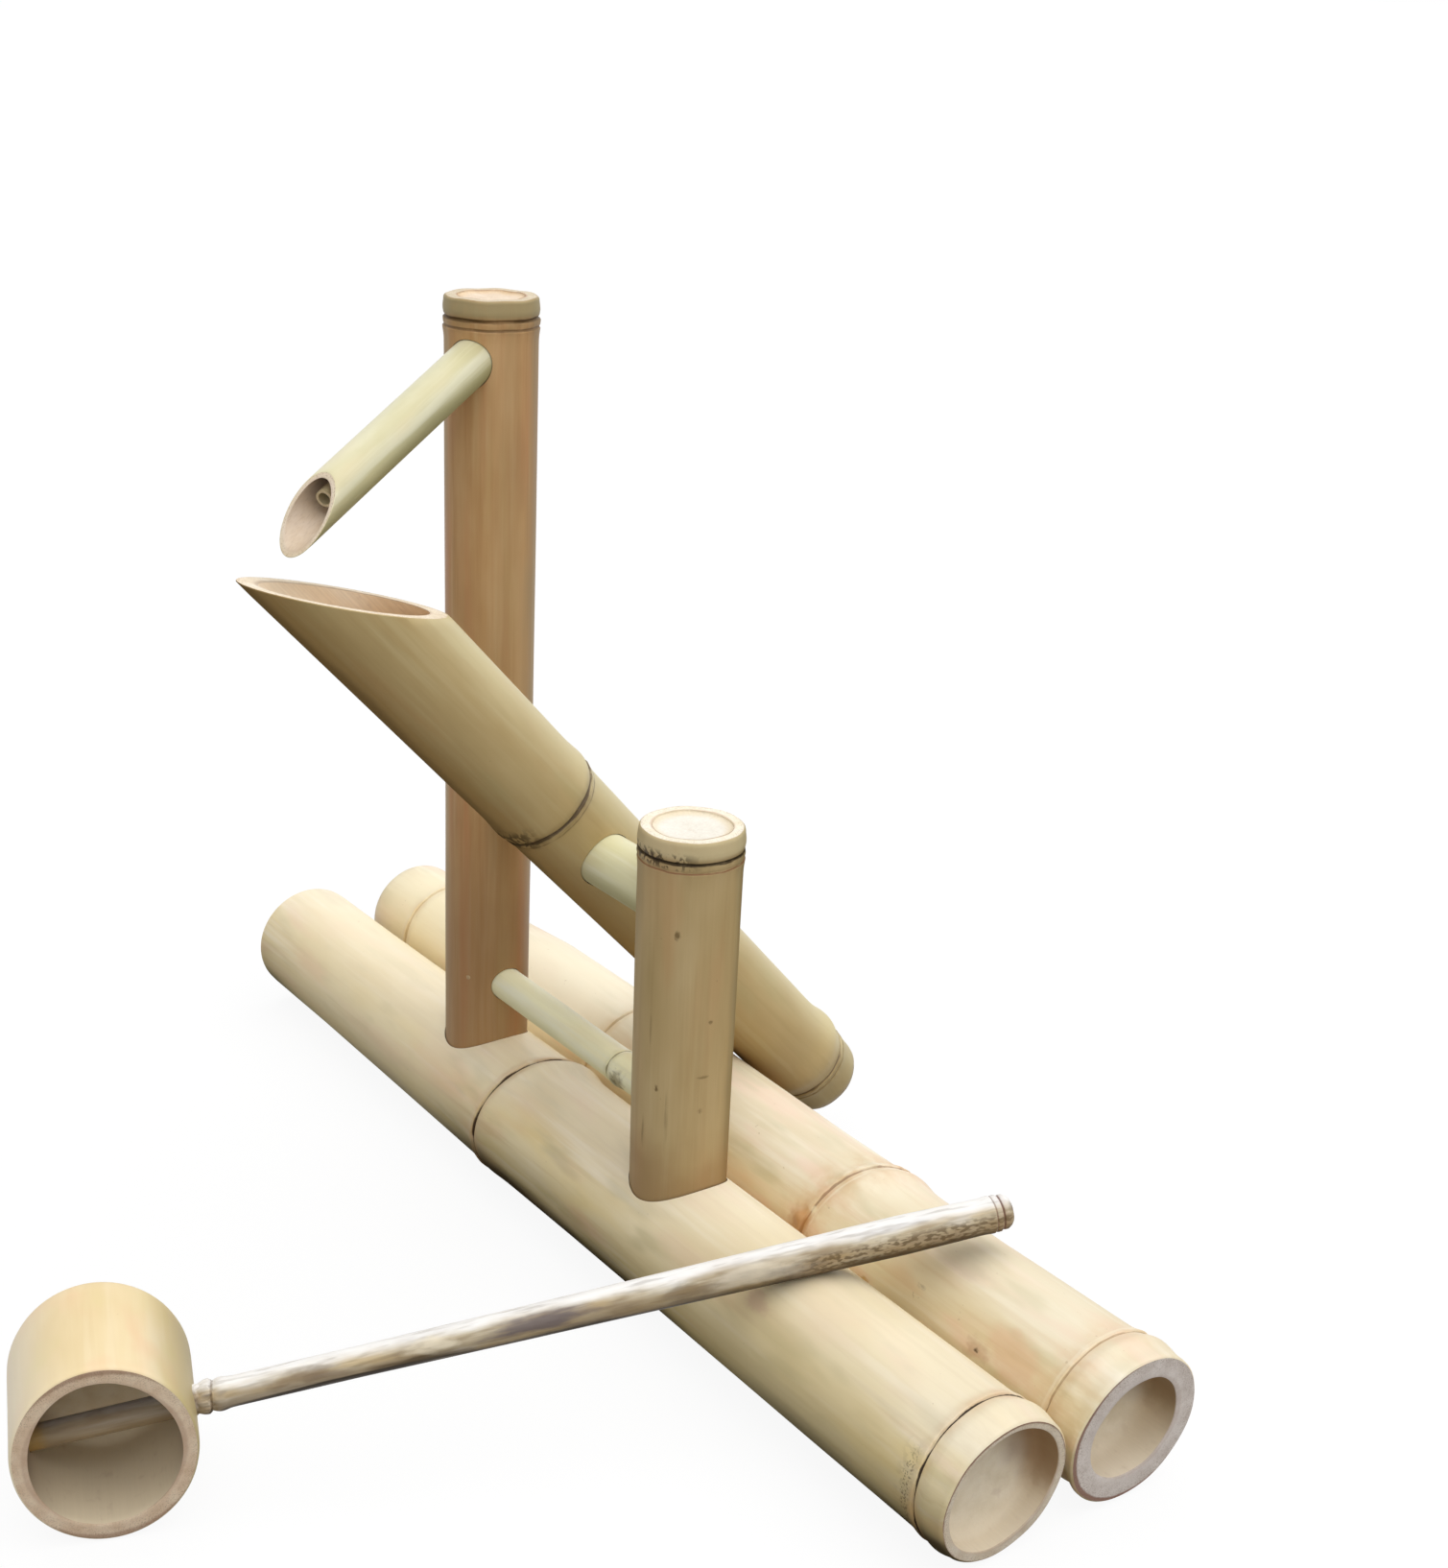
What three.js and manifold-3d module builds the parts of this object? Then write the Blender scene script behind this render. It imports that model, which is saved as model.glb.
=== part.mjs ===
import * as THREE from 'three';
import { mergeVertices } from 'three/addons/utils/BufferGeometryUtils.js';
import Module from 'manifold-3d';

// A shishi odoshi: two bamboo culms carry two posts, a spout fills the tube
// between them, and the tube tips over its axle, empties and knocks back.
// Millimetres, +Z up, X along the base culms, -Y on the side that pours.
// The origin is on the ground under the front culm's middle node.

const wasm = await Module();
wasm.setup();

// Clearances
const seatGap = 0.3;
const runningGap = 0.35;
const overrun = 2;

// Base culms, with their stations measured from the far end. The girths are the
// radii at the far end, at each node and at the near end.
const baseLength = 550;
const frontNodes = [231.72, 535];
const frontGirths = [28, 30.1, 29.7, 28.6];
const frontCrests = [31.2, 31.2];
const frontWall = 4;
const rearNodes = [38, 220, 387, 530];
const rearGirths = [26.8, 28.2, 31.9, 29.9, 29.3, 30.4];
const rearCrests = [29.6, 33, 33, 31.6];
const rearWall = 9;
const baseSpacing = 65;
const baseRidgeRise = 2.2;

// Dowels between the base culms, one through each internode
const dowelRadius = 5;
const dowelLength = 38;
const dowelStations = [110, 300, 460];

// Posts, standing in the front culm
const postSpacing = 158;
const tallPostStation = 188;
const spoutToTallPostTop = 20.1;
const tallPostFootRadius = 18.8;
const tallPostHeadRadius = 19.9;
const tallPostNodeDrop = 8.5;
const axleToShortPostTop = 36.3;
const shortPostFootRadius = 19.9;
const shortPostHeadRadius = 21.1;
const shortPostNodeDrop = 9;
const postWall = 4.4;
const postRidgeRise = 0.8;

// Axle and brace, between the posts
const pivotHeight = 177;
const axleRadius = 11.9;
const axleWall = 3.1;
const braceHeight = 88;
const braceRadius = 7.5;
const braceWall = 2.2;
const braceNodeStation = 98;
const axleReach = 3.5;
const braceReach = 13;
const pegRadius = 1.1;
const pegLength = 14;
const pegAzimuth = THREE.MathUtils.degToRad(-56);

// Tipping tube, with its stations measured from the heel end
const tubeHeelToPivot = 201.5;
const tubePivotToTip = 201.7;
const tubePivotToLip = 125.5;
const tubePivotToNode = 31;
const tubeHeelNode = 17.5;
const tubeHeelCutRadius = 19.2;
const tubeHeelRadius = 20.7;
const tubeWaistRadius = 22.8;
const tubeCollarRadius = 23.3;
const tubeMouthRadius = 24.4;
const tubeWall = 4.5;
const tubeRidgeRise = 0.7;
const tubeHeelRidgeRise = 1.8;
const tubeBoreDrop = 2.65;

// Spout, with its stations measured from the tall post's axis
const tubeTipToSpout = 50.8;
const spoutAzimuth = THREE.MathUtils.degToRad(31.2);
const spoutElevation = THREE.MathUtils.degToRad(-17.6);
const spoutRootRadius = 9.7;
const spoutMouthRadius = 9.3;
const spoutWall = 1.7;
const spoutHoleDepth = 16;
const spoutUpperLength = 131.2;
const spoutLowerLength = 164.8;

// Water hose, inside the front culm, the tall post and the spout
const hoseRadius = 3.5;
const hoseWall = 1;
const hoseOffset = 7;
const hoseFootBend = 10;
const hoseHeadBend = 15;
const hoseTurns = 6;
const hoseReach = 136;

// Ladle, with the handle's stations measured from the cup's axis
const cupHalfWidth = 32.2;
const cupHalfHeight = 35.9;
const cupLength = 57.5;
const cupWall = 6.2;
const cupFloor = 7;
const cupBaseInset = 3.7;
const cupBaseRise = 5.6;
const cupEdgeRound = 0.9;
const cupMouthToHandle = 20;
const cupDistance = 250.2;
const ladleYaw = THREE.MathUtils.degToRad(-19.3);
const handleReach = 349.3;
const handleTipRadius = 4.4;
const handleButtRadius = 7.4;
const handleNode = 40;
const handleButtNode = 343;
const handleSocket = 2.7;
const handleRidgeRise = 0.5;

// Where the handle crosses the front culm, between the short post and the near
// end
const handleCrossingShare = 0.4538;

// How a node stands on its culm, as shares of the culm's ridge rise
const lipRiseShare = 0.42;
const scarRiseShare = 0.08;
const scarWidthShare = 0.55;
const lipLengthShare = 3.5;
const ridgeOffsetShare = 3.2;
const ridgeBandShare = 0.75;
const ridgeRunShare = 8;

// Cut ends and the hollows behind them, as shares of the wall
const rimRoundShare = 0.3;
const heelRoundShare = 0.6;
const diaphragmShare = 0.35;
const dishDepthShare = 0.8;
const dishStepShare = 0.27;
const dishRadiusShare = 0.75;

// Facets round each size of culm
const baseFacets = 32;
const postFacets = 28;
const rodFacets = 20;
const hoseFacets = 8;

// Geometry helpers

// A closed geometry as a solid. Facets that shrink to a line on the axis of a
// revolved shape are left out.
function solidFrom(geometry) {
  geometry.deleteAttribute('normal');
  geometry.deleteAttribute('uv');
  const merged = mergeVertices(geometry);
  const corners = merged.index.array;
  const kept = [];
  for (let i = 0; i < corners.length; i += 3) {
    const [a, b, c] = corners.slice(i, i + 3);
    if (a !== b && b !== c && c !== a) kept.push(a, b, c);
  }
  return new wasm.Manifold(new wasm.Mesh({
    numProp: 3,
    vertProperties: Float32Array.from(merged.attributes.position.array),
    triVerts: Uint32Array.from(kept),
  }));
}

// A solid as a named mesh
function meshFrom(name, solid, material) {
  const { vertProperties, triVerts } = solid.getMesh();
  const geometry = new THREE.BufferGeometry();
  geometry.setAttribute('position', new THREE.BufferAttribute(vertProperties, 3));
  geometry.setIndex(new THREE.BufferAttribute(triVerts, 1));
  geometry.computeVertexNormals();
  const mesh = new THREE.Mesh(geometry, material);
  mesh.name = name;
  return mesh;
}

// A profile of [radius, station] points turned about Z, with a facet square to
// each axis
function revolve(profile, facets) {
  const points = profile.map(([radius, station]) => new THREE.Vector2(radius, station));
  const geometry = new THREE.LatheGeometry(points, facets, Math.PI / facets);
  return solidFrom(geometry.rotateX(Math.PI / 2));
}

// A straight round cutter along Z
function rod(radius, from, to, facets) {
  return revolve([[0, from], [radius, from], [radius, to], [0, to]], facets);
}

function moved(solid, matrix) {
  return solid.transform(matrix.toArray());
}

function shifted(solid, x, y, z) {
  return moved(solid, new THREE.Matrix4().makeTranslation(x, y, z));
}

// Z turned to lie along X, and Z turned to lie along Y
const alongX = new THREE.Matrix4().makeRotationY(Math.PI / 2);
const alongY = new THREE.Matrix4().makeRotationX(-Math.PI / 2);

function cutAll(solid, cutters) {
  return cutters.reduce((rest, cutter) => rest.subtract(cutter), solid);
}

// The radius at a station: an even taper from foot to head, or from each of a
// culm's girths to the next
function taper(culm, station) {
  const { length, nodes, girths } = culm;
  if (!girths) return THREE.MathUtils.lerp(culm.footRadius, culm.headRadius, station / length);
  const stations = [0, ...nodes, length];
  const found = stations.findIndex((end, i) => i > 0 && station <= end);
  const next = found > 0 ? found : stations.length - 1;
  const share = (station - stations[next - 1]) / (stations[next] - stations[next - 1]);
  return THREE.MathUtils.lerp(girths[next - 1], girths[next], share);
}

// One node's profile: the sheath's lip, the scar it leaves, and the ridge
// above it with a level band round its crest
function nodeProfile(culm, station, crestRadius) {
  const rise = culm.ridgeRise;
  const scar = (rise * scarWidthShare) / 2;
  const ridge = station + rise * ridgeOffsetShare;
  const band = (rise * ridgeBandShare) / 2;
  const crest = crestRadius ?? taper(culm, ridge) + rise;
  const run = [
    [taper(culm, station - rise * lipLengthShare), station - rise * lipLengthShare],
    [taper(culm, station) + rise * lipRiseShare, station - scar],
    [taper(culm, station) + rise * scarRiseShare, station],
    [taper(culm, station) + rise * lipRiseShare, station + scar],
    [crest, ridge - band],
    [crest, ridge + band],
  ];
  const end = station + rise * ridgeRunShare;
  if (end < culm.length - culm.wall) run.push([taper(culm, end), end]);
  return run;
}

// The outside of a culm from foot to head, with rounded cut edges
function culmOutside(culm) {
  const round = culm.wall * rimRoundShare;
  const foot = taper(culm, 0);
  const head = taper(culm, culm.length);
  return revolve([
    [0, 0],
    [foot - round, 0],
    [foot, round],
    ...culm.nodes.flatMap((station, i) => nodeProfile(culm, station, culm.crests?.[i])),
    [head, culm.length - round],
    [head - round, culm.length],
    [0, culm.length],
  ], culm.facets);
}

// The hollow between two diaphragms, dished at both ends
function chamber(culm, from, to) {
  const dish = culm.wall * dishDepthShare;
  const step = culm.wall * dishStepShare;
  const inner = (station) => taper(culm, station) - culm.wall;
  return revolve([
    [0, from],
    [inner(from) * dishRadiusShare, from + step],
    [inner(from), from + dish],
    [inner(to), to - dish],
    [inner(to) * dishRadiusShare, to - step],
    [0, to],
  ], culm.facets);
}

// The hollow from a cut end to the nearest diaphragm
function recess(culm, end, diaphragm) {
  const out = Math.sign(end - diaphragm);
  const inner = taper(culm, diaphragm) - culm.wall;
  const mouth = taper(culm, end) - culm.wall;
  const profile = [
    [0, diaphragm],
    [inner * dishRadiusShare, diaphragm + out * culm.wall * dishStepShare],
    [inner, diaphragm + out * culm.wall * dishDepthShare],
    [mouth, end],
    [mouth, end + out * overrun],
    [0, end + out * overrun],
  ];
  return revolve(out > 0 ? profile : profile.reverse(), culm.facets);
}

// A bamboo culm standing on Z: outside, end recesses and inner chambers, with
// a diaphragm left at every node
function culmSolid(culm) {
  const half = culm.wall * diaphragmShare;
  const sites = culm.nodes.map((station) => station + half);
  const hollows = sites.slice(1).map((site, i) => chamber(culm, sites[i] + half, site - half));
  const first = sites[0] - half;
  const last = sites[sites.length - 1] + half;
  return cutAll(culmOutside(culm), [
    ...hollows,
    recess(culm, 0, first),
    recess(culm, culm.length, last),
  ]);
}

// The slope of the line from a point that passes a round bar, at offset
// (across, up) from the point, with the given distance to the bar's axis
function slopeOver(across, up, distance) {
  return Math.atan2(up, across) + Math.asin(distance / Math.hypot(across, up));
}

// Materials
const wood = (color, roughness) => new THREE.MeshStandardMaterial({
  color, roughness, metalness: 0,
});
const ivoryCulm = wood(0xe3cfa8, 0.4);
const yellowCulm = wood(0xdcc594, 0.4);
const tanPost = wood(0xb08a62, 0.45);
const khakiPost = wood(0xae9470, 0.45);
const oliveTube = wood(0x9c8459, 0.42);
const greenCane = wood(0xcfcd9f, 0.3);
const creamCup = wood(0xe8d1a0, 0.42);
const greyHandle = wood(0xb5aa9b, 0.5);
const paleDowel = wood(0xd2b88a, 0.6);
const clearHose = new THREE.MeshStandardMaterial({
  color: 0xd9dccb, roughness: 0.25, metalness: 0,
});

const fountain = new THREE.Group();

// Base culms: both lie on their node ridges, and almost touch there
const nearEnd = baseLength - frontNodes[0] - baseRidgeRise * ridgeOffsetShare;
const farEnd = nearEnd - baseLength;
const frontCulm = {
  length: baseLength,
  nodes: frontNodes,
  girths: frontGirths,
  crests: frontCrests,
  wall: frontWall,
  ridgeRise: baseRidgeRise,
  facets: baseFacets,
};
const rearCulm = {
  ...frontCulm,
  nodes: rearNodes,
  girths: rearGirths,
  crests: rearCrests,
  wall: rearWall,
};

// Two ridges of a base culm reach the same crest, so it lies level on them
const frontHeight = Math.max(...frontCrests) * Math.cos(Math.PI / baseFacets);
const rearHeight = Math.max(...rearCrests) * Math.cos(Math.PI / baseFacets);
const tallPostX = farEnd + tallPostStation;
const shortPostX = tallPostX + postSpacing;
const postMidX = (tallPostX + shortPostX) / 2;

// How the tipping tube rests: it turns on the axle, its bore a little under its
// middle, until its heel meets the rear culm
const heelDistance = Math.hypot(baseSpacing, pivotHeight - rearHeight);
const heelRadius = THREE.MathUtils.lerp(
  tubeWaistRadius, tubeHeelRadius, heelDistance / tubeHeelToPivot,
);
const heelSeat = taper(rearCulm, postMidX - farEnd);
const restSlope = slopeOver(
  baseSpacing,
  rearHeight - pivotHeight,
  heelSeat + heelRadius * Math.cos(Math.PI / baseFacets) + seatGap - tubeBoreDrop,
);

// The spout leaves the tall post above the resting tube's tip
const spoutHeight = pivotHeight - tubePivotToTip * Math.sin(restSlope) + tubeTipToSpout;
const tallPostTop = spoutHeight + spoutToTallPostTop;
const shortPostTop = pivotHeight + axleToShortPostTop;

// A post stands where its foot's edge meets the front culm's bore
function footHeight(postX, footRadius) {
  const bore = taper(frontCulm, postX - farEnd) - frontWall;
  const reach = (bore - seatGap) * Math.cos(Math.PI / baseFacets);
  return frontHeight - Math.sqrt(reach ** 2 - footRadius ** 2) + seatGap;
}
function postCulm(postX, top, footRadius, headRadius, nodeDrop) {
  const length = top - footHeight(postX, footRadius);
  return {
    length,
    footRadius,
    headRadius,
    wall: postWall,
    nodes: [length - nodeDrop],
    ridgeRise: postRidgeRise,
    facets: postFacets,
  };
}
const tallCulm = postCulm(
  tallPostX, tallPostTop, tallPostFootRadius, tallPostHeadRadius, tallPostNodeDrop,
);
const shortCulm = postCulm(
  shortPostX, shortPostTop, shortPostFootRadius, shortPostHeadRadius, shortPostNodeDrop,
);
const tallFoot = tallPostTop - tallCulm.length;
const shortFoot = shortPostTop - shortCulm.length;

// Sockets in the front culm's top, one round each post
function socketFor(postX, culm, foot) {
  const top = frontHeight + taper(frontCulm, postX - farEnd);
  const radius = taper(culm, top - foot) + seatGap;
  return shifted(rod(radius, frontHeight, top + overrun, postFacets), postX, 0, 0);
}

// Dowel holes run across both culms at mid height
const dowelHeight = (frontHeight + rearHeight) / 2;
function dowelAt(station, radius, slack) {
  const middle = (baseSpacing + taper(frontCulm, station) - taper(rearCulm, station)) / 2;
  const solid = rod(radius, -slack, dowelLength + slack, rodFacets);
  return shifted(
    moved(solid, alongY), farEnd + station, middle - dowelLength / 2, dowelHeight,
  );
}
const dowelHoles = dowelStations.map((station) => (
  dowelAt(station, dowelRadius + seatGap, seatGap)
));

const frontSolid = cutAll(
  shifted(moved(culmSolid(frontCulm), alongX), farEnd, 0, frontHeight),
  [
    socketFor(tallPostX, tallCulm, tallFoot),
    socketFor(shortPostX, shortCulm, shortFoot),
    ...dowelHoles,
  ],
);
const rearSolid = cutAll(
  shifted(moved(culmSolid(rearCulm), alongX), farEnd, baseSpacing, rearHeight),
  dowelHoles,
);
fountain.add(meshFrom('front_base_culm', frontSolid, ivoryCulm));
fountain.add(meshFrom('rear_base_culm', rearSolid, yellowCulm));
dowelStations.forEach((station, i) => {
  fountain.add(meshFrom(`base_dowel_${i + 1}`, dowelAt(station, dowelRadius, 0), paleDowel));
});

// Rods between the posts: each ends inside the two hollow posts
function rodSpan(height, tallReach) {
  const tallBore = taper(tallCulm, height - tallFoot) - postWall;
  const shortBore = taper(shortCulm, height - shortFoot) - postWall;
  return {
    from: tallPostX + tallBore - tallReach,
    to: shortPostX - shortBore + axleReach,
  };
}
const axleSpan = rodSpan(pivotHeight, axleReach);
const braceSpan = rodSpan(braceHeight, braceReach);
function rodHole(radius, height, { from, to }) {
  const solid = rod(radius + seatGap, from - overrun, to + overrun, rodFacets);
  return shifted(moved(solid, alongX), 0, 0, height);
}

// The spout's own frame: Z runs out of the post, Y points up
const spoutFrame = new THREE.Group();
spoutFrame.position.set(tallPostX, 0, spoutHeight);
spoutFrame.rotation.set(Math.PI / 2 - spoutElevation, 0, spoutAzimuth, 'ZXY');
spoutFrame.updateMatrix();
const spoutCulm = {
  length: spoutLowerLength,
  footRadius: spoutRootRadius,
  headRadius: spoutMouthRadius,
};
const spoutRoot = taper(tallCulm, spoutHeight - tallFoot) - postWall;
const spoutHole = moved(
  rod(spoutRootRadius + seatGap, spoutRoot - overrun, spoutRoot + spoutHoleDepth, rodFacets),
  spoutFrame.matrix,
);

// The peg that pins the brace in the tall post
const pegOuter = taper(tallCulm, braceHeight - tallFoot);
const pegPlace = new THREE.Matrix4()
  .makeTranslation(tallPostX, 0, braceHeight + braceRadius / 2)
  .multiply(new THREE.Matrix4().makeRotationZ(pegAzimuth))
  .multiply(alongX);
function pegSolid(radius, from, to) {
  return moved(rod(radius, from, to, hoseFacets), pegPlace);
}

const pegHole = pegSolid(
  pegRadius + seatGap, pegOuter - pegLength - seatGap, pegOuter + overrun,
);

const tallSolid = cutAll(shifted(culmSolid(tallCulm), tallPostX, 0, tallFoot), [
  rodHole(axleRadius, pivotHeight, axleSpan),
  rodHole(braceRadius, braceHeight, braceSpan),
  spoutHole,
  pegHole,
]);
const shortSolid = cutAll(shifted(culmSolid(shortCulm), shortPostX, 0, shortFoot), [
  rodHole(axleRadius, pivotHeight, axleSpan),
  rodHole(braceRadius, braceHeight, braceSpan),
]);
fountain.add(meshFrom('tall_post', tallSolid, tanPost));
fountain.add(meshFrom('short_post', shortSolid, khakiPost));
fountain.add(meshFrom(
  'brace_peg',
  pegSolid(pegRadius, pegOuter - pegLength, pegOuter + seatGap),
  paleDowel,
));

// Axle: a smooth cane, open at both ends
const axleSolid = rod(axleRadius, axleSpan.from, axleSpan.to, rodFacets).subtract(
  rod(axleRadius - axleWall, axleSpan.from - overrun, axleSpan.to + overrun, rodFacets),
);
const axle = meshFrom('pivot_axle', moved(axleSolid, alongX), greenCane);
axle.position.z = pivotHeight;
fountain.add(axle);

// Brace: a thinner cane with one node
const braceCulm = {
  length: braceSpan.to - braceSpan.from,
  footRadius: braceRadius,
  headRadius: braceRadius,
  wall: braceWall,
  nodes: [braceNodeStation],
  ridgeRise: postRidgeRise,
  facets: rodFacets,
};
const braceSolid = shifted(
  moved(culmSolid(braceCulm), alongX), braceSpan.from, 0, braceHeight,
).subtract(pegHole);
fountain.add(meshFrom('brace_rod', braceSolid, greenCane));

// Spout: a slim cane, its mouth cut long on the lower side
const spoutSlope = Math.atan2(spoutLowerLength - spoutUpperLength, spoutMouthRadius * 2);
const mouthCutter = (size, slope, station) => moved(
  solidFrom(new THREE.BoxGeometry(size, size, size)),
  new THREE.Matrix4().makeTranslation(0, 0, station)
    .multiply(new THREE.Matrix4().makeRotationX(-slope))
    .multiply(new THREE.Matrix4().makeTranslation(0, 0, size / 2)),
);
const spoutBore = {
  ...spoutCulm,
  footRadius: spoutRootRadius - spoutWall,
  headRadius: spoutMouthRadius - spoutWall,
};
const spoutStart = spoutRoot - seatGap;
const coneAlong = (culm, from, to, facets) => revolve([
  [0, from], [taper(culm, from), from], [taper(culm, to), to], [0, to],
], facets);
const spoutSolid = cutAll(coneAlong(spoutCulm, spoutStart, spoutLowerLength, rodFacets), [
  coneAlong(spoutBore, spoutStart - overrun, spoutLowerLength + overrun, rodFacets),
  mouthCutter(spoutLowerLength, spoutSlope, (spoutLowerLength + spoutUpperLength) / 2),
]);
spoutFrame.add(meshFrom('spout', spoutSolid, greenCane));
fountain.add(spoutFrame);

// Water hose: in at the front culm's far end, up the tall post, out in the
// spout. The route is a list of stations, with each bend turned in steps.
class StationRoute extends THREE.Curve {
  constructor(stations) {
    super();
    this.stations = stations;
  }

  getPointAt(share, target = new THREE.Vector3()) {
    const place = share * (this.stations.length - 1);
    const i = Math.min(Math.floor(place), this.stations.length - 2);
    return target.lerpVectors(this.stations[i], this.stations[i + 1], place - i);
  }

  getTangentAt(share, target = new THREE.Vector3()) {
    const last = this.stations.length - 1;
    const i = Math.round(share * last);
    const before = this.stations[Math.max(i - 1, 0)];
    const after = this.stations[Math.min(i + 1, last)];
    return target.subVectors(after, before).normalize();
  }

  getSpacedPoints() {
    return this.stations.map((station) => station.clone());
  }
}

// A corner between two runs, rounded to a radius in equal turns
function bend(before, corner, after, radius, turns) {
  const back = before.clone().sub(corner).normalize();
  const on = after.clone().sub(corner).normalize();
  const half = back.angleTo(on) / 2;
  const bisector = back.clone().add(on).normalize();
  const centre = corner.clone().addScaledVector(bisector, radius / Math.sin(half));
  const start = corner.clone().addScaledVector(back, radius / Math.tan(half)).sub(centre);
  const axis = start.clone().cross(bisector.clone().negate()).normalize();
  const sweep = Math.PI - half * 2;
  return Array.from({ length: turns + 1 }, (_, i) => (
    start.clone().applyAxisAngle(axis, (sweep * i) / turns).add(centre)
  ));
}
const spoutAim = new THREE.Vector3(0, 0, 1).transformDirection(spoutFrame.matrix);
const hoseBack = spoutAim.clone().setZ(0).normalize().multiplyScalar(-hoseOffset);
function hoseRunHeight(station) {
  const bore = taper(frontCulm, station) * Math.cos(Math.PI / baseFacets) - frontWall;
  return frontHeight - Math.sqrt((bore - hoseRadius - seatGap) ** 2 - hoseBack.y ** 2);
}
const hoseInlet = new THREE.Vector3(farEnd + seatGap, hoseBack.y, hoseRunHeight(0));
const hoseFoot = new THREE.Vector3(
  tallPostX + hoseBack.x, hoseBack.y, hoseRunHeight(tallPostStation),
);
const hoseHead = spoutFrame.position.clone().add(hoseBack);
hoseHead.z -= hoseOffset * Math.tan(spoutElevation);
const hoseOutlet = spoutFrame.position.clone().addScaledVector(spoutAim, hoseReach);
const hoseRoute = new StationRoute([
  hoseInlet,
  ...bend(hoseInlet, hoseFoot, hoseHead, hoseFootBend, hoseTurns),
  ...bend(hoseFoot, hoseHead, hoseOutlet, hoseHeadBend, hoseTurns),
  hoseOutlet,
]);
const ring = (radius) => Array.from({ length: hoseFacets }, (_, i) => {
  const angle = (i * Math.PI * 2) / hoseFacets;
  return new THREE.Vector2(radius * Math.cos(angle), radius * Math.sin(angle));
});
const hoseSection = new THREE.Shape(ring(hoseRadius));
hoseSection.holes.push(new THREE.Path(ring(hoseRadius - hoseWall).reverse()));
const hoseGeometry = new THREE.ExtrudeGeometry(hoseSection, {
  steps: hoseRoute.stations.length - 1, extrudePath: hoseRoute,
});
fountain.add(meshFrom('water_hose', solidFrom(hoseGeometry), clearHose));

// Tipping tube: heel down on the rear culm, mouth up under the spout. Its own
// frame has Z towards the mouth and Y on the mouth's open side.
const tubeCulm = {
  length: tubeHeelToPivot + tubePivotToTip,
  footRadius: tubeHeelRadius,
  headRadius: tubeMouthRadius,
  wall: tubeWall,
  nodes: [tubeHeelNode, tubeHeelToPivot + tubePivotToNode],
  ridgeRise: tubeRidgeRise,
  facets: baseFacets,
};
const tubeWaist = tubeCulm.nodes[1];
const tubeFrame = new THREE.Group();
tubeFrame.position.set(postMidX, 0, pivotHeight);
tubeFrame.rotation.x = Math.PI / 2 + restSlope;

function tubeOutside() {
  const round = tubeWall * heelRoundShare;
  const turn = (tubeWall * heelRoundShare) / 3;
  const heel = { ...tubeCulm, length: tubeWaist, headRadius: tubeWaistRadius };
  const mouth = {
    ...tubeCulm,
    nodes: [tubeWaist],
    girths: [tubeCollarRadius, tubeCollarRadius, tubeMouthRadius],
  };
  const waist = nodeProfile(heel, tubeWaist).slice(0, 3);
  const collar = nodeProfile(mouth, tubeWaist).slice(3);
  return revolve([
    [0, 0],
    [tubeHeelCutRadius - round, 0],
    [tubeHeelCutRadius - turn, turn],
    [tubeHeelCutRadius, round],
    ...nodeProfile({ ...heel, ridgeRise: tubeHeelRidgeRise }, tubeHeelNode),
    ...waist,
    ...collar,
    [tubeMouthRadius, tubeCulm.length],
    [0, tubeCulm.length],
  ], baseFacets);
}
const tubeDiaphragm = tubeWall * diaphragmShare;
const tubeMouthSlope = Math.atan2(tubePivotToTip - tubePivotToLip, tubeMouthRadius * 2);
const tubeSolid = cutAll(tubeOutside(), [
  recess(tubeCulm, 0, tubeHeelNode),
  chamber({ ...tubeCulm, headRadius: tubeWaistRadius, length: tubeWaist },
    tubeHeelNode + tubeDiaphragm * 2, tubeWaist - tubeDiaphragm),
  recess({ ...tubeCulm, footRadius: tubeCollarRadius, headRadius: tubeCollarRadius },
    tubeCulm.length, tubeWaist + tubeDiaphragm),
  shifted(mouthCutter(tubeCulm.length, tubeMouthSlope, 0), 0, 0,
    tubeHeelToPivot + (tubePivotToTip + tubePivotToLip) / 2),
  shifted(moved(
    rod((axleRadius + runningGap) / Math.cos(Math.PI / baseFacets),
      -tubeMouthRadius - overrun, tubeMouthRadius + overrun, baseFacets),
    alongX,
  ), 0, -tubeBoreDrop, tubeHeelToPivot),
]);
tubeFrame.add(meshFrom(
  'tipping_tube', shifted(tubeSolid, 0, tubeBoreDrop, -tubeHeelToPivot), oliveTube,
));
fountain.add(tubeFrame);

// Ladle: the cup lies on the ground and the handle leans on the front culm.
// Its own frame has Z along the handle and X out of the cup's mouth.
const ladleFrame = new THREE.Group();
const handleCulm = {
  length: handleReach + cupHalfWidth - cupWall + handleSocket,
  footRadius: handleTipRadius,
  headRadius: handleButtRadius,
};
const handleStart = handleReach - handleCulm.length;
const leanReach = cupDistance / Math.cos(ladleYaw);
const leanRadius = taper(handleCulm, leanReach - handleStart);
const leanX = THREE.MathUtils.lerp(shortPostX, nearEnd, handleCrossingShare);
const leanSlope = slopeOver(
  cupDistance,
  frontHeight - cupHalfHeight,
  taper(frontCulm, leanX - farEnd) + leanRadius + seatGap,
);
const ladleTilt = Math.atan(Math.tan(leanSlope) * Math.cos(ladleYaw));
const cupHeight = Math.hypot(
  cupHalfWidth * Math.sin(ladleTilt), cupHalfHeight * Math.cos(ladleTilt),
);
ladleFrame.position.set(leanX + cupDistance * Math.tan(ladleYaw), -cupDistance, cupHeight);
ladleFrame.rotation.set(ladleTilt - Math.PI / 2, 0, ladleYaw, 'ZXY');

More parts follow.
